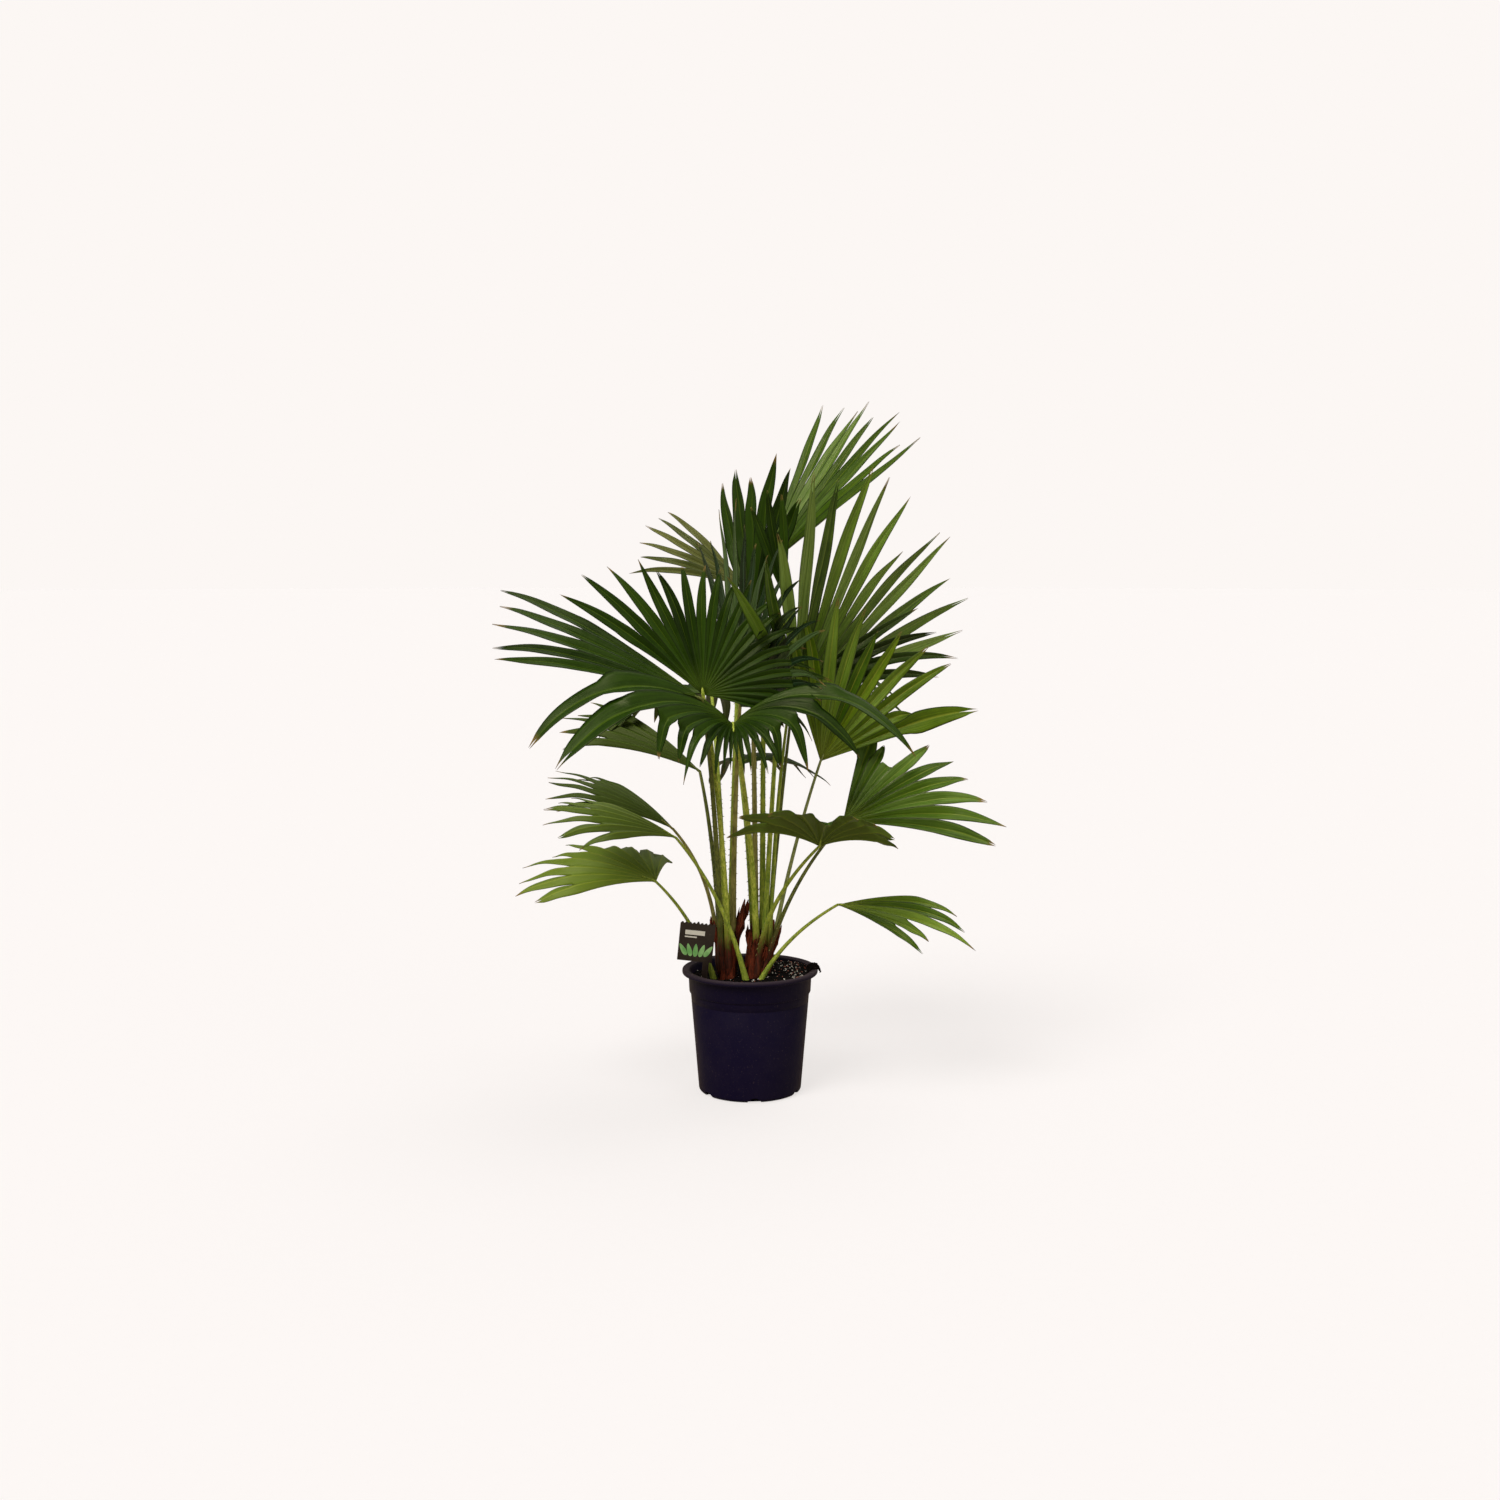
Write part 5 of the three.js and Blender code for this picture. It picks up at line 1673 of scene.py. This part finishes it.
@dataclass(frozen=True)
class NurseryPot:
    """The pot: a tapered wall with a collar and rolled rim, and drain arches round its foot."""

    height: float = POT_HEIGHT
    rim_radius: float = 0.12
    rim_depth: float = 0.009
    rim_round: float = 0.0032
    lip_inside: float = 0.006
    neck_radius: float = 0.109
    collar_drop: float = 0.042
    collar_taper: float = 0.0015
    step_in: float = 0.0025
    foot_radius: float = 0.091
    foot_round: float = 0.007
    wall: float = 0.003
    floor: float = 0.004
    groove_height: float = 0.163
    groove_depth: float = 0.0007
    groove_half: float = 0.0014
    groove_floor: float = 0.0005
    around: int = 160
    notches: int = 6
    notch_width: float = 0.024
    notch_height: float = 0.0085
    notch_depth: float = 0.012
    first_notch: float = 5.0

    def outer(self, z: float) -> float:
        """The outer radius at a height, under the collar."""
        top = self.height - self.collar_drop
        under = self.neck_radius - self.collar_taper - self.step_in
        return self.foot_radius + (under - self.foot_radius) * z / top

    @staticmethod
    def arc(middle: tuple[float, float], radius: float, start: float, end: float, count: int = 6) -> Outline:
        """Points of an arc in the pot's section, with angles in degrees from outwards."""
        turns = np.radians(np.linspace(start, end, count))
        return [(middle[0] + radius * math.cos(t), middle[1] + radius * math.sin(t)) for t in turns]

    def groove(self) -> Outline:
        """The section of the groove under the collar."""
        half, floor, depth = self.groove_half, self.groove_floor, self.groove_depth
        profile = ((-half, 0.0), (-floor, depth), (floor, depth), (half, 0.0))
        return [(self.outer(self.groove_height + z) - sunk, self.groove_height + z) for z, sunk in profile]

    def section(self) -> Outline:
        """The wall's section as radius and height, up the outside and down the inside."""
        h, r, wall, foot, neck = self.height, self.rim_round, self.wall, self.foot_round, self.neck_radius
        step, under_rim, collar_foot = h - self.collar_drop, h - self.rim_depth, neck - self.collar_taper
        outside = self.arc((self.foot_radius - foot, foot), foot, -90, 0, 8)
        collar = [
            (self.outer(step), step), (collar_foot - 0.0006, step + 0.0008), (collar_foot, step + 0.002),
            (neck - 0.0002, under_rim - 0.004), (neck + 0.001, under_rim - 0.0012),
            (neck + 0.004, under_rim),
        ]
        rim = self.arc((self.rim_radius - r, under_rim + r), r, -90, 0)
        rim += self.arc((self.rim_radius - r, h - r), r, 0, 90)
        inside = [
            (self.rim_radius - self.lip_inside, h - 0.0004), (neck - 0.0012, h - 0.0022),
            (neck - wall, h - 0.006), (collar_foot - wall, step + 0.002),
            (self.outer(step) - wall, step - wall), (self.outer(self.floor) - wall, self.floor),
        ]
        return outside + self.groove() + collar + rim + inside

    def build(self, finishes: Finishes) -> None:
        """The pot as a piece, with its arches cut."""
        section = np.array(self.section())
        angle = all_round(self.around)
        surface = Surface()
        index = surface.grid(round_about(section[:, :1], angle, section[:, 1:]), around=True)
        surface.cap(index[0], (0, 0, 0), turned=True)
        surface.cap(index[-1], (0, 0, self.floor))
        body = surface.mesh(finishes.pot)
        cutter = placed("arches", self.arches())

        def cut(holder: Object) -> None:
            """Takes the arches out of the foot."""
            modifier = holder.modifiers.new("arches", "BOOLEAN")
            modifier.operation = "DIFFERENCE"
            modifier.solver = "EXACT"
            modifier.object = cutter

        made = evaluated(body, cut)
        bpy.data.objects.remove(cutter)
        settle(made, "nursery_pot", ["pot"], creases=40)

    def arches(self) -> Mesh:
        """The rods that cut the drain arches."""
        work = bmesh.new()
        half = self.notch_width / 2
        middle = self.foot_radius - self.notch_depth + 2 * half
        squash = Matrix.Diagonal((1.0, 1.0, self.notch_height / half, 1.0))
        lie = Matrix.Rotation(math.radians(90), 4, "X")
        for i in range(self.notches):
            turn = Matrix.Rotation(math.radians(self.first_notch + i * 360 / self.notches), 4, "Z")
            place = turn @ Matrix.Translation((0, -middle, 0)) @ squash @ lie
            bmesh.ops.create_cone(
                work, cap_ends=True, segments=32, radius1=half, radius2=half, depth=4 * half, matrix=place
            )
        mesh = bpy.data.meshes.new("arches")
        work.to_mesh(mesh)
        work.free()
        return mesh


# ---- potting mix ----


@dataclass(frozen=True)
class Grains:
    """One kind of grain: how many lie on a square metre, its smallest and largest radius, its seed."""

    name: str
    density: float
    sizes: tuple[float, float]
    seed: int
    roughness: float = 0.6  # in shares of the largest radius

    def strew(self, base: Mesh, weight: Array, material: Material, growth: Growth) -> None:
        """Strews them over a surface.

        Args:
            base: The surface.
            weight: How thickly they lie, point by point.
            material: Their finish.
            growth: The Geometry Nodes trees.
        """
        ground = base.copy()
        mark(ground, "weight", weight)
        smallest, largest = self.sizes
        made = grown(
            ground, growth.crumbs, Density=self.density, Smallest=smallest, Largest=largest,
            Roughness=largest * self.roughness, Seed=self.seed, Material=material,
        )
        settle(made, self.name)


CRUMBS = Grains("crumbs", 42000.0, (0.0007, 0.0024), 1)
BARK_CHIPS = Grains("bark_chips", 9500.0, (0.001, 0.0026), 2)
PERLITE = Grains("perlite", 8500.0, (0.0011, 0.0026), 4)
SPILT_CRUMBS = Grains("spilt_mix", 420000.0, (0.0008, 0.0024), 6)


@dataclass(frozen=True)
class PottingMix:
    """The mix in the pot, heaped to the right, with crumbs, bark and perlite strewn over it."""

    pot: NurseryPot = field(default_factory=NurseryPot)
    mound: float = 0.018
    mound_at: tuple[float, float] = (0.6, 0.2)
    mound_fall: float = 2.4
    swell: float = 0.009
    lumps: tuple[float, float, float] = (0.0014, 0.0005, 0.0003)  # broad, fine and finer
    around: int = 96
    rings: int = 30
    clear: float = 0.0007

    def edge(self) -> float:
        """The mix's radius at its surface."""
        return self.pot.neck_radius - self.pot.collar_taper - self.pot.wall - self.clear

    def top(self, x: Array, y: Array) -> Array:
        """The height of the mix at a place."""
        edge = self.edge()
        gap = np.hypot(x - self.mound_at[0] * edge, y - self.mound_at[1] * edge) / edge
        broad, fine, finer = self.lumps
        soft = broad * np.sin(x / self.swell + 1) * np.cos(y / self.swell)
        rough = fine * np.sin(310 * x + 2 * np.sin(190 * y)) * np.sin(270 * y + 1.3)
        rougher = finer * np.sin(730 * x + 410 * y) * np.cos(660 * y - 350 * x)
        return SOIL_LEVEL + self.mound * np.exp(-self.mound_fall * gap * gap) + soft + rough + rougher

    def build(self, finishes: Finishes, growth: Growth) -> None:
        """The mix and its grains."""
        edge, pot = self.edge(), self.pot
        bottom = pot.floor + self.clear
        angle = all_round(self.around)
        foot = np.array([pot.outer(pot.floor) - pot.wall - self.clear, edge])
        radii = np.concatenate([foot, edge * (1 - np.arange(1, self.rings) / self.rings)])[:, None]
        points = round_about(radii, angle, 0.0)
        points[..., 2] = self.top(points[..., 0], points[..., 1])
        points[0, :, 2] = bottom
        surface = Surface()
        index = surface.grid(points, around=True)
        surface.cap(index[0], (0, 0, bottom), turned=True)
        surface.cap(index[-1], (0, 0, float(self.top(np.zeros(1), np.zeros(1))[0])))
        settle(surface.mesh(finishes.mix), "mix_body", ["soil"])

        bed = Surface()
        bed.grid(points[1:], around=True)
        base = bed.mesh()
        x, y = bed.points[:, 0] / edge, bed.points[:, 1] / edge
        heaped = 0.08 + 1.2 * np.clip(x + 0.25, 0, 1) ** 1.5 * (1 - 0.3 * y)
        CRUMBS.strew(base, np.ones(len(x)), finishes.crumb, growth)
        BARK_CHIPS.strew(base, heaped, finishes.bark, growth)
        PERLITE.strew(base, heaped, finishes.perlite, growth)


@dataclass(frozen=True)
class SpiltMix:
    """The small heap of mix that lies over the rim, on the right.

    angle is its middle, in degrees round the pot. It reaches inwards and outwards from the rim's ridge
    by reach, narrower towards its outer edge, and hangs down by hang_in and hang_out at its two edges.
    """

    pot: NurseryPot = field(default_factory=NurseryPot)
    angle: float = 2.0
    half_width: float = 0.024
    narrowing: float = 0.45
    ridge_inset: float = 0.006
    reach: float = 0.011
    clear: float = 0.0004
    height: float = 0.005
    hang_out: float = 0.016
    hang_in: float = 0.007
    columns: int = 15
    rows: int = 13

    def build(self, finishes: Finishes, growth: Growth) -> None:
        """The heap, as crumbs alone."""
        across = np.linspace(-1, 1, self.columns)[None, :]
        over = np.linspace(-1, 1, self.rows)[:, None]
        spread = self.half_width / self.pot.rim_radius * (1 - self.narrowing * over)
        angle = math.radians(self.angle) + across * spread
        z = self.pot.height + self.height * (1 - over**2) * (1 - across**2) + self.clear
        z = z - self.hang_out * np.clip(over - 0.55, 0, 1) - self.hang_in * np.clip(-over - 0.2, 0, 1)
        surface = Surface()
        surface.grid(round_about(self.pot.rim_radius - self.ridge_inset + self.reach * over, angle, z))
        weight = ((1 - across**2) * (1 - 0.6 * np.clip(over, 0, 1))).reshape(-1) + 0.15
        SPILT_CRUMBS.strew(surface.mesh(), weight, finishes.crumb, growth)


# ---- label ----


@dataclass(frozen=True)
class PlantLabel:
    """A toothed card on a pointed stake, with plain bars and leaf shapes printed on it.

    Bars are given as middle, width and height, and the row of leaves by its pitch, height on the card
    and size, all in shares of the card. centre is the card's middle, and lean and tilt turn it sideways
    and back.
    """

    width: float = 0.061
    height: float = 0.07
    thick: float = 0.0014
    teeth: int = 9
    tooth: float = 0.003
    nub: float = 0.005
    centre: Point = (-0.093, -0.07, 0.279)
    lean: float = 6.0
    tilt: float = 12.0
    stake_width: float = 0.011
    stake_aside: float = 0.02
    stake_foot: float = 0.188
    point: float = 0.018
    edge_round: float = 0.0003
    print_sunk: float = 0.0001
    print_rise: float = 0.0002
    bars: tuple[Shares, ...] = ((-0.06, 0.27, 0.56, 0.12), (-0.17, 0.15, 0.34, 0.035))
    leaves: int = 5
    leaf_pitch: float = 0.18
    leaf_height: float = -0.2
    leaf_size: float = 0.2
    leaf_spread: float = 16.0
    leaf_points: int = 16

    def place(self) -> Matrix:
        """The turn and shift from the card's own plane to its place in the pot."""
        turn = Matrix.Rotation(math.radians(self.lean), 4, "Y")
        stand = Matrix.Rotation(math.radians(90 + self.tilt), 4, "X")
        return Matrix.Translation(self.centre) @ turn @ stand

    def outline(self) -> Outline:
        """The card's and stake's outline, with teeth along the top edge."""
        w, h = self.width / 2, self.height / 2
        foot = self.centre[2] - self.stake_foot
        s, aside = self.stake_width / 2, self.stake_aside
        points = [
            (-w, h), (-w, -h), (aside - s, -h), (aside - s, self.point - foot), (aside, -foot),
            (aside + s, self.point - foot), (aside + s, -h), (w, -h), (w, h),
        ]
        pitch = self.width / self.teeth
        for i in range(self.teeth):
            right = w - i * pitch
            tall = self.nub if i == (self.teeth - 1) // 2 else self.tooth
            points += [(right - 0.3 * pitch, h + tall), (right - 0.6 * pitch, h + tall * 0.9)]
            if i + 1 < self.teeth:
                points.append((right - pitch, h))
        return points

    def leaf_shape(self, number: int) -> Outline:
        """The outline of a plain pointed leaf, numbered outwards from the middle one."""
        x, y = self.leaf_pitch * self.width * number, self.leaf_height * self.height
        size = self.leaf_size * self.width
        turn = math.radians(90 - self.leaf_spread * number)
        c, s = math.cos(turn), math.sin(turn)
        points = []
        for i in range(self.leaf_points):
            t = math.tau * i / self.leaf_points
            along = math.cos(t)
            aside = 0.34 * math.sin(t) * (1 - 0.35 * along)
            points.append((x + size * (along * c - aside * s), y + size * (along * s + aside * c)))
        return points

    def bar(self, shares: Shares) -> Outline:
        """The outline of a plain bar."""
        x, y = shares[0] * self.width, shares[1] * self.height
        w, h = shares[2] * self.width / 2, shares[3] * self.height / 2
        return [(x - w, y - h), (x + w, y - h), (x + w, y + h), (x - w, y + h)]

    @staticmethod
    def slab(work: bmesh.types.BMesh, outline: Outline, low: float, high: float) -> None:
        """Adds a flat slab of an outline, between two heights over the card's plane."""
        lower = [work.verts.new((x, y, low)) for x, y in outline]
        upper = [work.verts.new((x, y, high)) for x, y in outline]
        work.faces.new(upper)
        work.faces.new(list(reversed(lower)))
        for i, corner in enumerate(lower):
            j = (i + 1) % len(lower)
            work.faces.new((corner, lower[j], upper[j], upper[i]))

    def slabs(self, outlines: list[Outline], low: float, high: float, material: Material) -> Mesh:
        """Slabs of several outlines as one mesh in its place."""
        mesh = bpy.data.meshes.new("slabs")
        work = bmesh.new()
        for outline in outlines:
            self.slab(work, outline, low, high)
        bmesh.ops.recalc_face_normals(work, faces=work.faces)
        work.to_mesh(mesh)
        work.free()
        mesh.transform(self.place())
        mesh.materials.append(material)
        return mesh

    def build(self, finishes: Finishes) -> None:
        """The card and what is printed on it."""
        face = self.thick / 2
        card = self.slabs([self.outline()], -face, face, finishes.card)

        def soften(holder: Object) -> None:
            """Rounds the card's edges a little."""
            bevel = holder.modifiers.new("edges", "BEVEL")
            bevel.width = self.edge_round
            bevel.segments = 2
            bevel.limit_method = "ANGLE"

        settle(evaluated(card, soften), "plant_label", ["label"], creases=40)
        low, high = face - self.print_sunk, face + self.print_rise
        bars = [self.bar(shares) for shares in self.bars]
        leaves = [self.leaf_shape(i - self.leaves // 2) for i in range(self.leaves)]
        settle(self.slabs(bars, low, high, finishes.print_pale), "label_bars")
        settle(self.slabs(leaves, low, high, finishes.print_green), "label_leaves")


# ---- studio ----


@dataclass(frozen=True)
class SoftSun:
    """A broad far light: where it stands round the plant and above it, in degrees."""

    name: str
    azimuth: float
    elevation: float
    strength: float
    breadth: float
    colour: Point = (1.0, 0.985, 0.88)

    def build(self) -> None:
        """Adds the light. Azimuth 0 is in front of the plant, and 90 on its right."""
        data = bpy.data.lights.new(self.name, "SUN")
        data.energy = self.strength
        data.angle = math.radians(self.breadth)
        data.color = self.colour
        light = placed(self.name, data)
        a, e = math.radians(self.azimuth), math.radians(self.elevation)
        back = Vector((math.sin(a) * math.cos(e), -math.cos(a) * math.cos(e), math.sin(e)))
        light.rotation_mode = "QUATERNION"
        light.rotation_quaternion = back.to_track_quat("Z", "Y")


@dataclass(frozen=True)
class Studio:
    """The camera, the pale floor and surroundings, and the soft light."""

    camera_at: Point = (0.0, -3.2, 0.938)
    pitch: float = 5.9
    lens: float = 44.1
    sensor: float = 36.0
    floor_radius: float = 60.0
    floor_corners: int = 64
    floor_drop: float = 0.0004
    floor_tones: tuple[str, str] = ("8f8d93", "918f95")
    glow: float = 0.708  # what the floor adds to these, where the camera sees it
    bounce: str = "a59a8c"  # the floor's colour to every other ray
    surround: str = "fcf7f4"
    ambient: float = 0.24
    ambient_colour: Colour = (1.0, 0.98, 0.88, 1.0)
    suns: tuple[SoftSun, ...] = (
        SoftSun("key", -34, 50, 2.0, 30),
        SoftSun("fill", 50, 24, 0.3, 50),
        SoftSun("top", 140, 64, 1.0, 50),
    )

    def camera(self) -> None:
        """Adds the camera."""
        data = bpy.data.cameras.new("camera")
        data.lens = self.lens
        data.sensor_width = self.sensor
        camera = placed("camera", data)
        camera.location = self.camera_at
        camera.rotation_euler = (math.radians(90 - self.pitch), 0.0, 0.0)
        bpy.context.scene.camera = camera

    def world(self) -> None:
        """A pale surround that lights the plant more softly than it shows."""
        world = bpy.data.worlds.new("surround")
        world.use_nodes = True
        bpy.context.scene.world = world
        recipe = Recipe(world.node_tree)
        world.node_tree.nodes.clear()
        path = recipe.add("ShaderNodeLightPath")
        seen = recipe.add("ShaderNodeBackground", paint(self.surround), 1.0)
        lit = recipe.add("ShaderNodeBackground", self.ambient_colour, self.ambient)
        both = recipe.add("ShaderNodeMixShader", path.outputs["Is Camera Ray"], lit, seen)
        recipe.add("ShaderNodeOutputWorld", both)

    def floor(self) -> None:
        """The pale floor, which throws less light back than it shows."""
        surface = Surface()
        angle = all_round(self.floor_corners)
        index = surface.add_points(round_about(self.floor_radius, angle, -self.floor_drop))
        surface.cap(index, (0, 0, -self.floor_drop))
        finish = Finish("floor", Specular_IOR_Level=0.0, Emission_Color=paint(self.surround))
        recipe = finish.recipe
        grain = recipe.noise(finish.place, 60.0)
        shown = recipe.mix(grain, *(paint(tone) for tone in self.floor_tones))
        seen = recipe.add("ShaderNodeLightPath").outputs["Is Camera Ray"]
        colour = recipe.mix(seen, paint(self.bounce), shown)
        recipe.feed(finish.shader.inputs["Emission Strength"], recipe.times(seen, self.glow))
        floor = placed("floor", surface.mesh(finish.done(colour, 0.9)))

    def build(self) -> None:
        """Sets up all of it."""
        bpy.context.scene.view_settings.view_transform = "Standard"
        self.camera()
        self.world()
        self.floor()
        for sun in self.suns:
            sun.build()


def main() -> None:
    """Builds the plant in its pot, with its light and camera, and reports each piece."""
    logging.basicConfig(level=logging.INFO, format="%(name)s: %(message)s")
    Studio().build()
    finishes = Finishes()
    growth = Growth()
    NurseryPot().build(finishes)
    PottingMix().build(finishes, growth)
    SpiltMix().build(finishes, growth)
    for clump in Clump:
        FibrousStem(clump).build(finishes, growth)
    TornBases().build(finishes)
    Crown().build(finishes, growth)
    PlantLabel().build(finishes)


if __name__ == "__main__":
    main()
